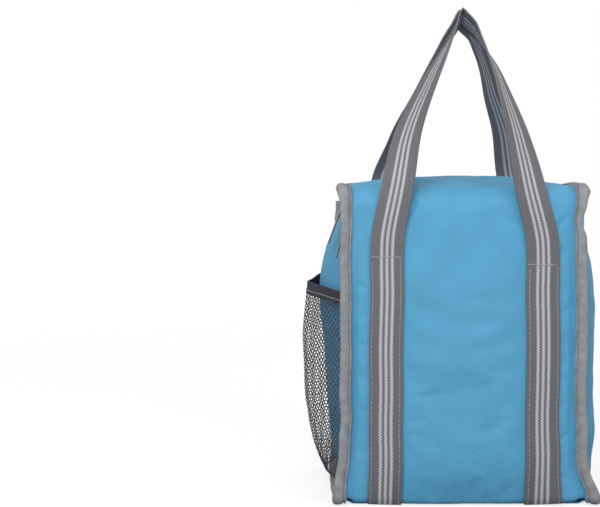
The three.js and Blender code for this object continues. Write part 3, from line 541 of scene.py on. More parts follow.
def strips(rows, columns, closed, first=0):
    """Faces between rows of points; closed rows are the rings of a tube, which gets its two ends."""
    faces = []
    for r in range(rows - 1):
        for c in range(columns if closed else columns - 1):
            a, b = (first + r * columns + k for k in (c, (c + 1) % columns))
            faces.append((a, b, b + columns, a + columns))
    if closed:
        faces.append(tuple(reversed(range(first, first + columns))))
        faces.append(tuple(range(first + (rows - 1) * columns, first + rows * columns)))
    return faces


def sweep(name, rings, widths, run):
    """A closed skin through rings of points; widths are the places round a ring and run the length along it."""
    cuts = [(w, s) for s in run for w in widths]
    obj = mesh_piece(name, [p for ring in rings for p in ring], strips(len(rings), len(rings[0]), True), cuts)
    edit_mesh(obj, normals_make_consistent={"inside": False})
    return obj


def merge_points(obj):
    """Joins points that lie on one another, and drops the faces that this leaves without area."""
    near = 0.05 * MM
    edit_mesh(obj, remove_doubles={"threshold": near}, dissolve_degenerate={"threshold": near})


def face_towards(obj, direction):
    """Turns the sheet's faces over if they look away from the direction."""
    total = sum((p.normal * p.area for p in obj.data.polygons), Vector())
    if total.dot(Vector(direction)) < 0:
        edit_mesh(obj, flip_normals={})


def copy_node(name, source, cut):
    """A merged copy of a frame solid with its flat cut, cut(x, y, z), as texture coordinates."""
    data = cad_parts[source].data.copy()
    obj = bpy.data.objects.new(name, data)
    bpy.context.scene.collection.objects.link(obj)
    edit_mesh(obj, remove_doubles={"threshold": 0.01 * MM}, customdata_custom_splitnormals_clear={})
    while data.uv_layers:
        data.uv_layers.remove(data.uv_layers[0])
    set_cuts(data, [cut(*(vertex.co / MM)) for vertex in data.vertices])
    return obj


def paint_node(source, material):
    """Gives a frame solid that shows as it is its material."""
    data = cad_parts[source].data
    data.materials.clear()
    data.materials.append(material)


def settle(obj, sewn):
    """Lets a cloth cut a little large settle over its padding, held where it is sewn down."""
    group = obj.vertex_groups.new(name="sewn")
    for index, weight in enumerate(sewn):
        if weight > 0:
            group.add([index], float(weight), "REPLACE")
    select_only(obj)
    bpy.ops.object.modifier_add(type="CLOTH")
    modifier = obj.modifiers[-1]
    for key, value in SETTLING.items():
        setattr(modifier.settings, key, value)
    modifier.settings.effector_weights.gravity = 0
    modifier.collision_settings.use_collision = False
    modifier.point_cache.frame_start = 1
    modifier.point_cache.frame_end = SETTLE_FRAMES
    for step in range(1, SETTLE_FRAMES + 1):
        bpy.context.scene.frame_set(step)
    bpy.ops.object.modifier_apply(modifier=modifier.name)
    obj.vertex_groups.clear()
    bpy.context.scene.frame_set(1)


def keep(obj, slot, body, *nodes):
    """The piece rides on the body and stands for the frame's nodes, which it hides; the slot is not used."""
    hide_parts(*nodes)
    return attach(obj, body)


def under_webbing(size, x, height):
    """1 under a sewn run of webbing, 0 clear of it."""
    under = smooth(size.webbing_width / 2 + 4 - abs(abs(x) - size.webbing_spacing / 2), 0, 5)
    return under * smooth(size.tack_height + 10 - height, 0, 14)


class LUNCHBAG_OT_shell(Operator):
    """Sews the padded shell: front with lid, back, two sides and bottom"""

    bl_idname = "lunchbag.shell"
    bl_label = "Shell"

    def execute(self, context):
        size = sizes_mm(context)
        cloth = shell_material(context.scene.lunch_bag_colours.shell)
        self.front_and_lid(size, cloth)
        self.back(size, cloth)
        for side, name in SIDES:
            self.side(size, cloth, side, name)
        bottom = copy_node("bottom_cloth", "bottom_panel", lambda x, y, z: (x, y))
        half = size.seam_depth / 2
        for vertex in bottom.data.vertices:
            vertex.co.x *= seam_half(size, 0, vertex.co.x) / (size.seam_width / 2)
            vertex.co.y *= (half - BOTTOM_ROUND) / (half - FRAME_BASE)
        keep(finish_piece(bottom, cloth), "shell_fabric", BODY, "bottom_panel", "base_foam")
        return {"FINISHED"}

    def front_and_lid(self, size, cloth):
        """One cloth: up the front, over the top edge and back over the lid."""
        line = seam_line(size, -1)
        climb = line[-1, 0]
        half, back = size.seam_width / 2, size.seam_depth / 2
        edge_y = -(back - TOP_ROUND)
        whole = climb + back + ALLOWANCE - edge_y

        def place(u, v):
            s = v * whole
            if s <= climb:
                x = (2 * u - 1) * (half + ALLOWANCE)
                free = smooth(half - abs(x), 0, 10)
                seam = seam_at(line, s)
                sewn = under_webbing(size, x, seam[1])
                swell = ripples(x, s, (0.7, 1, 55), (0.3, 2, 21))
                swell += 0.9 * ripple(3, x / 3, s, 12) * smooth(abs(x), half - 26, half - 4)
                swell += creases(FRONT_CREASES, x, s)
                swell = swell * (1 - sewn) - 0.7 * sewn
                valley = VALLEY * smooth(abs(x), half - 5, half - 1.5) * (1 - smooth(abs(x), half, half + 5))
                valley *= 1 - 0.6 * smooth(seam[1], 170, 250)
                return wrap_point(size, -1, x, seam, CLOTH / 2 + swell * free - valley), (x, s)
            y = edge_y + s - climb
            x = (2 * u - 1) * lid_half(size, min(y, back + ALLOWANCE - 0.4), ALLOWANCE)
            free = smooth(lid_half(size, y, 0) - abs(x), 0, 12) * smooth(back - y, 0, 12)
            swell = ripples(x, s, (1.2, 4, 45), (0.6, 5, 18))
            return lid_point(size, x, y, CLOTH / 2 + swell * free), (x, s)

        def held(vertex):
            """1 where the cloth is sewn: side seams, foot, lid edge and under the webbing."""
            x, y, z = vertex.co / MM
            edge = seam_half(size, z, x) if y < edge_y else lid_half(size, y, 0)
            under = 0
            if z < size.tack_height + 2 and y < edge_y:
                under = smooth(size.webbing_width / 2 + 3 - abs(abs(x) - size.webbing_spacing / 2), 0, 3)
            return max(smooth(abs(x), edge - 4, edge - 1), smooth(y, back - 4, back - 1), under, float(z < 4),
                       1 - smooth(abs(y - edge_y), 2, 7))

        obj = cloth_grid("front_and_lid_cloth", 110, 220, place)
        face_towards(obj, (0, -1, 0.6))
        settle(obj, [held(v) for v in obj.data.vertices])
        thicken(obj, CLOTH, -1)
        finish_piece(obj, cloth, 60)
        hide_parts("front_panel", "front_foam", "lid_panel")
        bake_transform(obj)

    def back(self, size, cloth):
        """The back panel, up to the zip tape."""
        line = seam_line(size, 1)
        half = size.seam_width / 2

        def place(u, v):
            x = (2 * u - 1) * (half + ALLOWANCE)
            s = v * line[-1, 0]
            free = smooth(half - abs(x), 0, 10) * smooth(line[-1, 0] - s, 0, 14)
            sewn = under_webbing(size, x, s)
            swell = ripples(x, s, (1.3, 6, 50), (0.6, 7, 20)) * (1 - sewn) - 0.7 * sewn
            return wrap_point(size, 1, x, seam_at(line, s), CLOTH / 2 + swell * free), (x, s)

        obj = cloth_grid("back_cloth", 90, 120, place)
        face_towards(obj, (0, 1, 0))
        thicken(obj, CLOTH, -1)
        keep(finish_piece(obj, cloth, 60), "shell_fabric", BODY, "back_panel", "back_foam")

    def side(self, size, cloth, side, name):
        """A side panel, cut back at the top where the zipper turns down beside the front seam."""
        half, top = size.seam_depth / 2, size.body_height - ZIP_BAND
        notch = size.body_height - ZIP_ENDS[side]
        foot, reach = 4.0, 1.1

        def place(u, v):
            z = foot + v * (top - foot)
            w = 2 * reach * u - reach
            if z > notch:
                w = max(w, ZIP_NOTCH)
            cut = (side * w * half, z)
            if abs(w) <= 1:
                free = smooth(1 - abs(w), 0, 0.2) * smooth(top - z, 0, 16) * smooth(w + 0.7, 0, 0.2)
                swell = ripples(*cut, (1.5, 8 + side, 42), (0.8, 12 + side, 17))
                return side_point(size, side, w, z, CLOTH / 2 + swell * free), cut
            at, flange = seam_side(size, side, math.copysign(1, w), z)
            return at + flange * (abs(w) - 1) * 60 + np.array([side * CLOTH / 2, 0, 0]), cut

        obj = cloth_grid(name + "_side_cloth", 90, 130, place)
        merge_points(obj)
        face_towards(obj, (side, 0, 0))
        thicken(obj, CLOTH, -1)
        nodes = (name + "_side_panel", name + "_foam")
        keep(finish_piece(obj, cloth, 60), "shell_fabric", BODY, *nodes)


class LUNCHBAG_OT_bindings(Operator):
    """Folds tape over the raw edges of the side seams and the lid"""

    bl_idname = "lunchbag.bindings"
    bl_label = "Bindings"

    def execute(self, context):
        size = sizes_mm(context)
        colours = context.scene.lunch_bag_colours
        # The binding's stitches take the webbing's dark grey. They are real stitches, but their darkness is partly
        # painted shade standing for the thin shadow line in the groove beside the binding.
        looks = (tape_material("folded bias tape", colours.binding, 1.6, 0.07),
                 tape_material("dark binding thread with painted groove shade", colours.webbing, 0.8, 0.15, 0.5))
        front, back = seam_line(size, -1), seam_line(size, 1)
        path = [row[1:] for row in front[::-1]]
        path += [(y, SEAM_FLOOR, 0.0, -1.0) for y in np.linspace(front[0, 1], back[0, 1], 40)[1:-1]]
        path += [row[1:] for row in back]
        for side, name in SIDES:
            stations = []
            for row in path:
                at, flange, across = seam_frame(size, side, *row)
                stations.append((at + across * SEAM_CLOTH / 2, flange, across))
            self.bind(name, BODY, stations, 2.45, 20 + side, looks)
        stations = []
        for x, y, nx, ny in self.lid_outline(size):
            # The lid's edge hangs, but its right front end is turned up.
            tilt = math.radians(-14 if x < 0 else 10 - 24 * smooth(y, -20, 50))
            reach = np.array([nx * math.cos(tilt), ny * math.cos(tilt), math.sin(tilt)])
            across = np.array([-nx * math.sin(tilt), -ny * math.sin(tilt), math.cos(tilt)])
            stations.append((np.array([x, y, size.body_height - lid_droop(y)]), reach, across))
        self.bind("lid", "lid", stations, 1.9, 30, looks)
        return {"FINISHED"}

    def bind(self, name, body, stations, half, seed, looks):
        """One folded tape and its two rows of stitches."""
        obj, seams = self.tape(name + "_binding_tape", stations, half, seed, body == BODY)
        keep(finish_piece(obj, looks[0], 70), "binding_tape", body, name + "_binding")
        # Both rows lie in the stitched groove. Their dark thread also serves as that groove's painted shadow.
        rows = [stitch_row(*seam, *TAPE_STITCH) for seam in seams]
        sew(name + "_binding_stitches", rows, looks[1], body)

    def lid_outline(self, size):
        """The lid's seam from its left front end round the back to its right front end, with outward normals."""
        half, back = size.seam_width / 2, size.seam_depth / 2
        start = -(back - TOP_ROUND) + LID_TAPE_START
        rows = [(half, y, 1.0, 0.0) for y in np.linspace(start, back - LID_CORNER, 40)]
        for nx, ny in ((math.cos(a), math.sin(a)) for a in quarter(17)[1:]):
            rows.append((half - LID_CORNER + LID_CORNER * nx, back - LID_CORNER + LID_CORNER * ny, nx, ny))
        rows += [(x, back, 0.0, 1.0) for x in np.linspace(half - LID_CORNER, 0, 30)[1:]]
        return [(-x, y, -nx, ny) for x, y, nx, ny in rows] + rows[-2::-1]

    def tape(self, name, stations, half, seed, side_seam):
        """A folded tape: two puffed sides, a stitched groove near the raw edge and a soft fold outside."""
        section = TAPE_SECTION + [(a, -b) for a, b in TAPE_SECTION[-2::-1]]
        run = lengths([station[0] for station in stations])
        steps = np.linspace(0, run[-1], int(run[-1] / 2.2))
        fields = [point_at([station[k] for station in stations], run, steps) for k in range(3)]
        rings = []
        for s, at, reach, across in zip(steps, *fields):
            wide = 1 + ripples(s, 0, (0.08, seed, 26), (0.05, seed + 1, 8))
            thick = 1 + ripples(s, 0, (0.16, seed + 2, 17), (0.14, seed + 3, 6))
            shift = ripples(s, 0, (0.9, seed + 5, 48), (0.5, seed + 6, 19))
            if side_seam:
                # A lump at the front's top end, on the right a neck below it, and a thick foot.
                right = at[0] > 0
                lump = 1 - smooth(s, 10, 26)
                neck = math.exp(-((s - 40) / 13) ** 2) * right
                corner = 1 - smooth(at[2], 6, 34)
                wide += 0.22 * lump - 0.32 * neck + 0.16 * corner
                thick += 0.75 * lump + 0.3 * corner
                shift += (1.2 + right) * ripple(seed + 7, s, 0, 30) * (1 - smooth(at[2], 40, 150)) - neck
            else:
                thick *= 0.5 + 0.5 * smooth(min(s, run[-1] - s), 0, 12)
            ring = []
            for a, b in section:
                puff = 1 + 0.26 * ripple(seed + 4, s / 3, a * 3 + b * 20, 11)
                puff += 0.13 * ripple(seed + 8, s, a * 4, 7)
                ring.append(at + reach * (a * wide + shift) + across * (b * half * thick * puff + 0.4 * shift))
            rings.append(ring)
        groove = 2
        seams = [([ring[k] for ring in rings], fields[2] * way)
                 for k, way in ((groove, 1), (len(section) - 1 - groove, -1))]
        return sweep(name, rings, lengths(section), steps), seams


def centripetal(points, count):
    """Points at even lengths along a smooth curve through the given points."""
    p = np.vstack([2 * points[0] - points[1], points, 2 * points[-1] - points[-2]])
    fine = []
    for i in range(1, len(p) - 2):
        gaps = [max(1e-6, np.linalg.norm(p[i + k] - p[i + k - 1]) ** 0.5) for k in range(3)]
        t0, t1, t2, t3 = 0, gaps[0], gaps[0] + gaps[1], sum(gaps)
        for t in np.linspace(t1, t2, 24, endpoint=i == len(p) - 3):
            a1 = ((t1 - t) * p[i - 1] + (t - t0) * p[i]) / (t1 - t0)
            a2 = ((t2 - t) * p[i] + (t - t1) * p[i + 1]) / (t2 - t1)
            a3 = ((t3 - t) * p[i + 1] + (t - t2) * p[i + 2]) / (t3 - t2)
            b1 = ((t2 - t) * a1 + (t - t0) * a2) / (t2 - t0)
            b2 = ((t3 - t) * a2 + (t - t1) * a3) / (t3 - t1)
            fine.append(((t2 - t) * b1 + (t - t1) * b2) / (t2 - t1))
    run = lengths(fine)
    return point_at(fine, run, np.linspace(0, run[-1], count))


def strap_drift(facing, side, s, stop):
    """How far the sewn webbing wanders sideways at the length s; the front's right run is sewn on askew."""
    wander = 1.5 * ripple(80 + side, s, 0, 58) * smooth(stop - s, 0, 40)
    if facing < 0 and side > 0:
        wander += RIGHT_TACK_ASIDE + RIGHT_FOOT_ASIDE * (1 - s / stop)
    return wander


def run_point(size, facing, side, x, s, line, lift=STRAP_LIFT):
    """A place on the sewn webbing at the length s, with its drift."""
    drift = strap_drift(facing, side, s, tack_length(size, line))
    return wrap_point(size, facing, x + drift, seam_at(line, s), lift)


def handle_sway(size, facing, side, z):
    """How far a leg of a handle has slumped to the right at the height z."""
    tack, high, top = size.tack_height, size.body_height, size.handle_top
    sway = 6.5 * smooth(z, high + 30, high + 135) - 3.6 * smooth(z, top - 16, top)
    if facing > 0 and side > 0:
        sway += 7.0 * smooth(z, tack + 10, high) * (1 - smooth(z, high + 35, high + 90))
    elif side > 0:
        sway += RIGHT_TACK_ASIDE * (1 - smooth(z, tack, high))
    elif facing > 0:
        sway += 5.0 * smooth(z, high, high + 40) * (1 - smooth(z, high + 70, high + 120))
    return sway


def strap_rows(size, facing, widths):
    """Rows of points across a strap: up its left run, round the loop and down its right run."""
    line = seam_line(size, facing)
    centre_x, tack, high, top = size.webbing_spacing / 2, size.tack_height, size.body_height, size.handle_top
    start, stop = line[6, 0], tack_length(size, line)
    foot, inner = (wrap_point(size, facing, x, seam_at(line, stop), STRAP_LIFT) for x in (centre_x, centre_x - 1))
    lie = math.atan2(facing * (inner[1] - foot[1]), 1.0)
    passing = size.seam_depth / 2 + STRAP_PASSING[facing]
    grip = (size.webbing_width + 2) / 2
    shape = ((centre_x - 9, 0.0, high), (centre_x * 0.69, 0.36, high + 56), (centre_x * 0.375, 0.75, high + 112),
             (centre_x * 0.145, 1.0, top - 15), (0, 1.0, top - STRAP_THICK / 2))
    curve = centripetal(np.array([
        (centre_x, foot[1], tack + 0.3), (centre_x - 1, foot[1] + facing * 0.3, tack + 20),
        *[(x, facing * (passing + (grip - passing) * share), z) for x, share, z in shape],
    ]), 90)
    runs, legs = {}, {}
    for side, _ in SIDES:
        runs[side] = [[run_point(size, facing, side, side * (centre_x - w), s, line) for w in widths]
                      for s in np.linspace(start, stop, 84)]
        legs[side] = []
        for i, (x, y, z) in enumerate(curve):
            share = i / (len(curve) - 1)
            turn = lie + (HANDLE_TURN - lie) * smooth(share, 0.02, 0.9)
            turn += (math.pi / 2 - HANDLE_TURN) * smooth(share, 0.85, 1.0)
            tip = HANDLE_TIP * smooth(share, 0.7, 1.0)
            across = np.array([-side * math.cos(turn), facing * math.sin(turn) * math.cos(tip),
                               -facing * math.sin(tip)])
            sunk = size.webbing_width / 2 * math.sin(tip)
            middle = np.array([side * x + handle_sway(size, facing, side, z), y, z - sunk])
            legs[side].append([middle + across * w for w in widths])
    return np.array(runs[-1] + legs[-1][1:] + legs[1][-2:0:-1] + runs[1][::-1])


class LUNCHBAG_OT_straps(Operator):
    """Lays one webbing strap up, over and down the front, and one at the back"""

    bl_idname = "lunchbag.straps"
    bl_label = "Straps"

    def execute(self, context):
        size = sizes_mm(context)
        colours = context.scene.lunch_bag_colours
        webbing = webbing_material(colours.webbing, colours.stripe)
        for facing, name in FACINGS:
            obj = self.strap(size, facing, name + "_strap")
            finish_piece(obj, webbing, 50)
            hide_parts(name + "_left_webbing", name + "_right_webbing", name + "_handle")
            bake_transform(obj)
        return {"FINISHED"}

    def strap(self, size, facing, name):
        """One strap as a single sheet with a little cupping across it and a gentle wave along it."""
        columns, half = 13, size.webbing_width / 2
        widths = np.linspace(-half, half, columns)
        rows = strap_rows(size, facing, widths)
        cuts = [(w, s) for s in lengths(rows[:, columns // 2]) for w in widths]
        obj = mesh_piece(name, rows.reshape(-1, 3), strips(len(rows), columns, False), cuts)
        face_towards(obj, (0, facing, 0))
        for vertex, (w, s) in zip(obj.data.vertices, cuts):
            loose = smooth(vertex.co.z / MM, size.tack_height + 4, size.tack_height + 40)
            bend = (0.8 * ripple(40 + facing, s, w, 60) + 0.5 * (w / half) ** 2) * loose
            vertex.co += vertex.normal * bend * MM
        thicken(obj, STRAP_THICK)
        return obj


def pocket_point(size, a, z, thickness):
    """A place on the pocket at a millimetres from the side's middle: tight at edges and foot, slack at the rim."""
    u = a / (size.seam_depth / 2 - 1.3)
    belly = np.interp(z, *POCKET_BELLY)
    reach = (size.side_bulge + size.pocket_standoff) * belly * (1 - min(1, abs(u)) ** 1.2)
    place = side_point(size, -1, u, z, 1.1 + thickness / 2)
    place[0] = min(place[0], -seam_half(size, z, -1) - 0.6 - reach)
    return place


def rim_rise(a):
    """How far the slack edge of the pocket stands above its two sewn ends."""
    return 3 * (1 - (a / POCKET_HALF) ** 2) + 6 * smooth(a, -10, 40) * (1 - smooth(a, 45, 68))


class LUNCHBAG_OT_pocket(Operator):
    """Knits the side pocket's net and edges it with an elastic band"""

    bl_idname = "lunchbag.pocket"
    bl_label = "Side pocket"

    def execute(self, context):
        size = sizes_mm(context)
        colours = context.scene.lunch_bag_colours
        yarn = tape_material("warp-knit net yarn", colours.net, 2.6, 0.6)
        band = tape_material("elastic edge tape", colours.rim, 1.5, 0.10)
        net = self.net(size)
        keep(finish_piece(net, yarn, 60), "pocket_net", BODY, "pocket_mesh")
        # The net is cut a little smaller than its belly; the yarn covers less than half of the cut.
        rim = self.rim(size)
        keep(finish_piece(rim, band, 60), "rim_tape", BODY, "pocket_rim")
        return {"FINISHED"}

    def net(self, size):
        """Six-sided holes drawn out sideways, each a ring of yarn that shares its corners with the next."""
        pitch, hole, drawn, yarn = size.net_pitch, 0.84, 1.35, 0.5
        reach, foot, top = POCKET_HALF, POCKET_FOOT, size.pocket_height - 9
        wide, radius, row_step = pitch * drawn, pitch / math.sqrt(3), pitch * 0.866
        points, faces, cuts = [], [], []
        for j in range(int((top - foot) / row_step) + 1):
            for i in range(-int(reach / wide) - 1, int(reach / wide) + 2):
                a, b = (i + 0.5 * (j % 2)) * wide, foot + j * row_step
                if abs(a) > reach:
                    continue
                first = len(points)
                for scale in (1.0, hole):
                    for angle in np.radians(range(30, 390, 60)):
                        x = min(reach, max(-reach, a + drawn * radius * scale * math.cos(angle)))
                        z = min(top, max(foot, b + radius * scale * math.sin(angle)))
                        pleat = 0.4 + 1.3 * smooth(z, top - 90, top - 10)
                        sag = (pleat * ripple(50, x, z / 12, 9) + ripple(51, x, z, 31)) * (1 - abs(x) / 80)
                        raised = z + rim_rise(x) * (z - foot) / (top - foot)
                        points.append(pocket_point(size, x, raised, yarn) + np.array([sag, 0, 0]))
                        cuts.append((x, z))
                ring = [(first + k, first + (k + 1) % 6) for k in range(6)]
                faces += [(p, q, q + 6, p + 6) for p, q in ring]
        obj = mesh_piece("pocket_net", points, faces, cuts)
        merge_points(obj)
        face_towards(obj, (-1, 0, 0))
        thicken(obj, yarn)
        return obj

    def rim(self, size):
        """The elastic band, drawn in a little so that it stands in shallow waves."""
        def place(u, v):
            a = (2 * u - 1) * POCKET_HALF
            z = size.pocket_height - RIM_WIDTH + RIM_WIDTH * v
            bend = 0.9 * ripple(55, a, 0, 13) + 0.5 * ripple(56, a, z, 6)
            rise = rim_rise(a) + 0.8 * ripple(57, a, 0, 19) * v
            return pocket_point(size, a, z + rise, RIM_THICK) + np.array([bend, 0, 0]), (a, z)

        obj = cloth_grid("pocket_edge_band", 90, 8, place)
        face_towards(obj, (-1, 0, 0))
        thicken(obj, RIM_THICK)
        apply_modifier(obj, "BEVEL", width=0.5 * MM, segments=2, limit_method="ANGLE",
                       angle_limit=math.radians(50))
        return obj


class LUNCHBAG_OT_zipper(Operator):
    """Dresses the zipper: cloth tapes, moulded teeth, plated sliders, ring and pulls"""

    bl_idname = "lunchbag.zipper"
    bl_label = "Zipper"

    def execute(self, context):
        size = sizes_mm(context)
        colours = context.scene.lunch_bag_colours
        tape = tape_material("zipper tape", colours.zip_tape, 1.4, 0.12)
        teeth = speckled_material("moulded nylon", colours.zip_teeth, 300.0, 0.08, 0.05, Roughness=0.38)
        nickel = metal_material("nickel plate", colours.metal, 0.24)
        for source, body in (("body_zip_tape", BODY), ("left_zip_end_tape", BODY), ("right_zip_end_tape", BODY),
                             ("lid_zip_tape", "lid")):
            obj = copy_node(source + "_cloth", source, lambda x, y, z: (z, x + y))
            if body == "lid":
                for vertex in obj.data.vertices:
                    x, y, z = vertex.co / MM
                    vertex.co.z -= lid_droop(y) * smooth(z, size.body_height - 9, size.body_height - 2) * MM
            keep(finish_piece(obj, tape, 30), "zip_tape", body, source)
        for source in ("body_zip_teeth", "left_zip_end_teeth", "right_zip_end_teeth", "lid_zip_teeth"):
            paint_node(source, teeth)
        for source, body, edge in (("top_slider", "top_slider_body", 0.5), ("end_slider", "end_slider_body", 0.5),
                                   ("top_pull_tab", "top_pull", 0.35), ("end_pull_tab", "end_pull", 0.35),
                                   ("top_pull_ring", "top_pull", 0.1)):
            obj = copy_node(source + "_plated", source, lambda x, y, z: (x + y, z))
            apply_modifier(obj, "BEVEL", width=edge * MM, segments=3, limit_method="ANGLE",
                           angle_limit=math.radians(35))
            keep(finish_piece(obj, nickel, 35), "nickel", body, source)
        return {"FINISHED"}


class LUNCHBAG_OT_lining(Operator):
    """Lines the inside with silvered film over foam, and lays the stiff board below it"""

    bl_idname = "lunchbag.lining"
    bl_label = "Lining"

    def execute(self, context):
        size = sizes_mm(context)
        film = speckled_material("aluminised film", context.scene.lunch_bag_colours.lining, 90.0, 0.05, 0.5,
                                 Roughness=0.34, Metallic=0.75)
        board = speckled_material("grey board", linear("#8d8a84"), 400.0, 0.1, 0.05, Roughness=0.85)
        paint_node("base_board", board)
        tub = self.tub(size)
        keep(finish_piece(tub, film, 60), "foil_liner", BODY, "liner_tub")
        roof = self.roof(size)
        keep(finish_piece(roof, film, 60), "foil_liner", "lid", "lid_liner", "lid_foam")
        return {"FINISHED"}

    def tub(self, size):
        """A tub with slack corners whose top edge turns out to the zip tape."""
        half_x, half_y, corner = size.seam_width / 2 - 6, size.seam_depth / 2 - 6, 12.0
        outline = []
        for cx, cy, first in ((1, 1, 0), (-1, 1, 90), (-1, -1, 180), (1, -1, 270)):
            for a in quarter(7) + math.radians(first):
                outline.append((cx * (half_x - corner) + corner * math.cos(a),
                                cy * (half_y - corner) + corner * math.sin(a)))
        outline = np.array(outline + outline[:1])
        run = lengths(outline)
        base, rise = 0.2, size.body_height - 38 - TUB_FLOOR

        def place(u, v):
            s = u * run[-1]
            x, y = point_at(outline, run, s)
            if v < base:
                share = max(0.02, v / base)
                dip = 0.8 * ripple(60, x * share, y * share, 30) * (1 - share)
                return np.array([x * share, y * share, TUB_FLOOR + dip]), (x * share, y * share)
            z = TUB_FLOOR + (v - base) / (1 - base) * rise
            lean = smooth(z, size.body_height - 52, size.body_height - 39)
            slack = ripples(s % run[-1], z, (1.6, 61, 34), (0.8, 62, 13)) * (1 - lean) - 1.4
            slack *= smooth(z, TUB_FLOOR, 20) * smooth(u, 0, 0.03) * smooth(1 - u, 0, 0.03) * (1 - lean)
            inward = np.array([x, y]) / math.hypot(x, y)
            spread = 1 + lean * 4.3 / half_x, 1 + lean * 3.8 / half_y
            return np.array([x * spread[0] + inward[0] * slack, y * spread[1] + inward[1] * slack, z]), (s, z)

        obj = cloth_grid("lining_tub", 150, 110, place)
        edit_mesh(obj, remove_doubles={"threshold": 0.02 * MM}, normals_make_consistent={"inside": False})
        return obj

    def roof(self, size):
        """The lid's lining, swelling down round its foam and flat at its sewn edge."""
        front, back = -(size.seam_depth / 2 - TOP_ROUND) + 4, size.seam_depth / 2 - 2

        def place(u, v):
            y = front + v * (back - front)
            half = lid_half(size, y, -2)
            x = (2 * u - 1) * half
            depth = smooth(half - abs(x), 0, 14) * smooth(y - front, 0, 14) * smooth(back - y, 0, 14)
            drop = 1.0 + 5.4 * depth + 0.7 * ripple(65, x, y, 30) * depth
            return lid_point(size, x, y, -drop), (x, y)

        obj = cloth_grid("lid_lining", 80, 60, place)
        face_towards(obj, (0, 0, -1))
        return obj


def stitch_row(path, outward, dash, gap, radius):
    """Points and faces of one row of stitches along a path: short threads whose ends dive into the cloth."""
    path, outward = np.array(path), np.array(outward)
    run = lengths(path)
    points, faces = [], []
    for start in np.arange(gap / 2, run[-1] - dash, dash + gap):
        faces += strips(4, 6, True, len(points))
        for share, rise in ((0.0, -0.6), (0.18, 0.75), (0.82, 0.75), (1.0, -0.6)):
            s = start + dash * share
            at, out = point_at(path, run, s), point_at(outward, run, s)
            ahead = point_at(path, run, s + 0.1) - at
            side = np.cross(out, ahead / max(1e-9, np.linalg.norm(ahead)))
            for k in range(6):
                a = math.radians(60 * k)
                points.append(at + out * radius * (rise + math.sin(a)) + side * radius * math.cos(a))
    return points, faces


def sew(name, rows, thread, body):
    """One piece of stitching from several rows, on its body."""
    points, faces = [], []
    for more, loops in rows:
        faces += [tuple(i + len(points) for i in loop) for loop in loops]
        points += more
    obj = mesh_piece(name, points, faces, [(p[0] + p[1], p[2]) for p in points])
    edit_mesh(obj, normals_make_consistent={"inside": False})
    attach(finish_piece(obj, thread, 60), body)


class LUNCHBAG_OT_stitching(Operator):
    """Sews the thread that shows: strap edges, bar tacks and pocket edge"""

    bl_idname = "lunchbag.stitching"
    bl_label = "Stitching"

    def execute(self, context):
        size = sizes_mm(context)
        thread = tape_material("polyester thread", context.scene.lunch_bag_colours.thread, 0.8, 0.12, 0.5)
        for facing, name in FACINGS:
            sew(name + "_strap_stitches", self.strap_rows(size, facing), thread, BODY)
        sew("pocket_edge_stitches", [self.rim_row(size)], thread, BODY)
        return {"FINISHED"}

    def strap_rows(self, size, facing):
        """Two lines up each sewn run, and a dense tack across its top."""
        line = seam_line(size, facing)
        stop = tack_length(size, line)
        lift = STRAP_LIFT + STRAP_THICK / 2
        half, centre_x = size.webbing_width / 2, size.webbing_spacing / 2
        rows = []
        out = np.array([0, facing, 0])
        for side, _ in SIDES:
            end = stop - TACK_DROP * (side > 0)
            for inset in (-half + 1.9, half - 3.0):
                path = [run_point(size, facing, side, side * (centre_x - inset), s, line, lift)
                        for s in np.linspace(line[7, 0], end - 2, 120)]
                rows.append(stitch_row(path, [out] * len(path), 3.4, 1.3, 0.34))
            edge = half - 1.2
            middle = side * centre_x + strap_drift(facing, side, end, stop)
            path = []
            for w in np.linspace(-edge, edge, 40):
                seam = seam_at(line, end - 0.8 + 0.5 * ripple(70 + side, w, 0, 7))
                path.append(wrap_point(size, facing, middle + w, seam, lift))
            rows.append(stitch_row(path, [out] * len(path), 2.6, 0.3, 0.5))
        return rows

    def rim_row(self, size):
        """One line round the lower part of the pocket's edge."""
        out = np.array([-1.0, 0, 0])
        edge = POCKET_HALF - 1.1
        path = [pocket_point(size, a, size.pocket_height - 8 + rim_rise(a), RIM_THICK) + out
                for a in np.linspace(-edge, edge, 160)]
        return stitch_row(path, [out] * len(path), 3.2, 1.0, 0.4)


# The stage in metres. Lights: name, place, width and watts.
LIGHTS = (("key_light", (-0.5, -1.2, 1.05), 1.0, 14.0), ("fill_light", (1.4, -1.9, 1.2), 1.6, 14.0),
          ("back_light", (0.9, 1.5, 1.7), 1.4, 4.0))
LIGHTS_AIM = Vector((0, 0, 0.2))
FLOOR_BACK = 3.0  # the floor's middle behind the bag
CAMERA_PLACE = (-0.1475, -1.428, 0.374)
CAMERA_DOWN = 5.92  # degrees below level


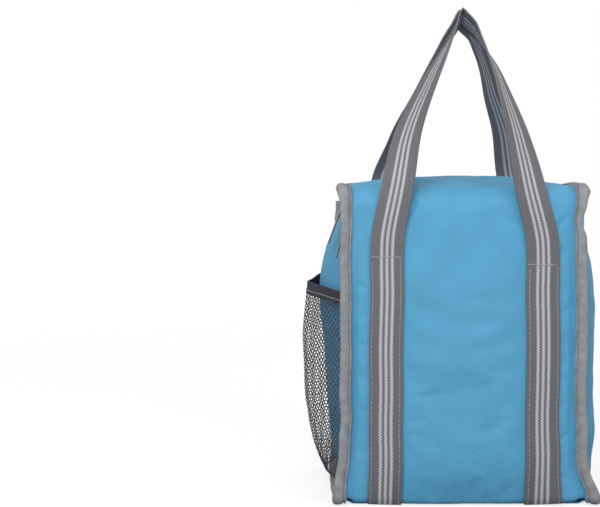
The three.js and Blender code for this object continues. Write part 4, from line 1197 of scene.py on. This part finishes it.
class LUNCHBAG_OT_stage(Operator):
    """Sets the pale floor, the soft lights, the white surround and the camera"""

    bl_idname = "lunchbag.stage"
    bl_label = "Stage"

    def execute(self, context):
        scene = context.scene
        scene.view_settings.view_transform = "Standard"
        bpy.ops.object.select_all(action="DESELECT")
        bpy.ops.mesh.primitive_plane_add(size=14, location=(0, FLOOR_BACK, 0))
        floor = context.object
        floor.name = "studio_floor"
        floor.data.materials.append(self.paper())
        for name, place, width, watts in LIGHTS:
            data = bpy.data.lights.new(name, "AREA")
            data.size = width
            data.energy = watts
            light = bpy.data.objects.new(name, data)
            scene.collection.objects.link(light)
            light.location = place
            light.rotation_euler = (LIGHTS_AIM - light.location).to_track_quat("-Z", "Y").to_euler()
        self.surround(scene)
        data = bpy.data.cameras.new("camera")
        data.sensor_width = 36
        data.lens = 90
        data.clip_end = 50
        camera = bpy.data.objects.new("camera", data)
        scene.collection.objects.link(camera)
        camera.location = CAMERA_PLACE
        camera.rotation_euler = (math.radians(90 - CAMERA_DOWN), 0, 0)
        scene.camera = camera
        return {"FINISHED"}

    def paper(self):
        """White paper, faintly mottled; it fades into the white surround away from the bag."""
        material, tree, shader = new_material("white paper", linear("#a6a6a6"), Roughness=0.9,
                                              Emission_Color=(1, 1, 1, 1))
        lift = node(tree, "Math", node(tree, "LightPath").outputs["Is Camera Ray"], 0.7, operation="MULTIPLY")
        tree.links.new(lift.outputs[0], shader.inputs["Emission Strength"])
        place = node(tree, "TexCoord").outputs["Object"]
        mottle = node(tree, "TexNoise", place, named={"Scale": 40.0, "Detail": 2.0})
        bump = node(tree, "Bump", named={"Strength": 0.05, "Distance": 0.0002, "Height": mottle.outputs[0]})
        tree.links.new(bump.outputs[0], shader.inputs["Normal"])
        away = node(tree, "VectorMath", place, (0, -FLOOR_BACK, 0), operation="DISTANCE").outputs["Value"]
        fade = node(tree, "MapRange", away, 0.45, 1.3, 1.0, 0.0, interpolation_type="SMOOTHSTEP")
        tree.links.new(fade.outputs[0], shader.inputs["Alpha"])
        return material

    def surround(self, scene):
        """White to the eye and to mirrors, softer as a light."""
        world = bpy.data.worlds.new("white surround")
        scene.world = world
        world.use_nodes = True
        tree = world.node_tree
        tree.nodes.clear()
        rays = node(tree, "LightPath")
        seen = node(tree, "Math", rays.outputs["Is Camera Ray"], rays.outputs["Is Glossy Ray"],
                    operation="MAXIMUM")
        seen = node(tree, "Math", seen, rays.outputs["Is Transmission Ray"], operation="MAXIMUM")
        soft = node(tree, "Background", (1, 1, 1, 1), 0.42)
        white = node(tree, "Background", (1, 1, 1, 1), 1.0)
        both = node(tree, "MixShader", seen, soft, white)
        node(tree, "OutputWorld", both)


STEPS = ("shell", "bindings", "straps", "pocket", "zipper", "lining", "stitching", "stage")


class LUNCHBAG_PT_panel(Panel):
    """Sidebar panel with the sizes, the colours and the steps"""

    bl_idname = "LUNCHBAG_PT_panel"
    bl_label = "Lunch Bag"
    bl_space_type = "VIEW_3D"
    bl_region_type = "UI"
    bl_category = "Lunch Bag"

    def draw(self, context):
        for group in (context.scene.lunch_bag_sizes, context.scene.lunch_bag_colours):
            box = self.layout.box()
            for name in group.__annotations__:
                box.prop(group, name)
        for step in STEPS:
            self.layout.operator("lunchbag." + step)


CLASSES = (BagSizes, BagColours, LUNCHBAG_OT_shell, LUNCHBAG_OT_bindings, LUNCHBAG_OT_straps, LUNCHBAG_OT_pocket,
           LUNCHBAG_OT_zipper, LUNCHBAG_OT_lining, LUNCHBAG_OT_stitching, LUNCHBAG_OT_stage, LUNCHBAG_PT_panel)


def register():
    for kind in CLASSES:
        bpy.utils.register_class(kind)
    bpy.types.Scene.lunch_bag_sizes = PointerProperty(type=BagSizes)
    bpy.types.Scene.lunch_bag_colours = PointerProperty(type=BagColours)


def unregister():
    del bpy.types.Scene.lunch_bag_colours
    del bpy.types.Scene.lunch_bag_sizes
    for kind in reversed(CLASSES):
        bpy.utils.unregister_class(kind)


def main():
    register()
    bpy.ops.lunchbag.shell()
    bpy.ops.lunchbag.bindings()
    bpy.ops.lunchbag.straps()
    bpy.ops.lunchbag.pocket()
    bpy.ops.lunchbag.zipper()
    bpy.ops.lunchbag.lining()
    bpy.ops.lunchbag.stitching()
    bpy.ops.lunchbag.stage()


if __name__ == "__main__":
    main()
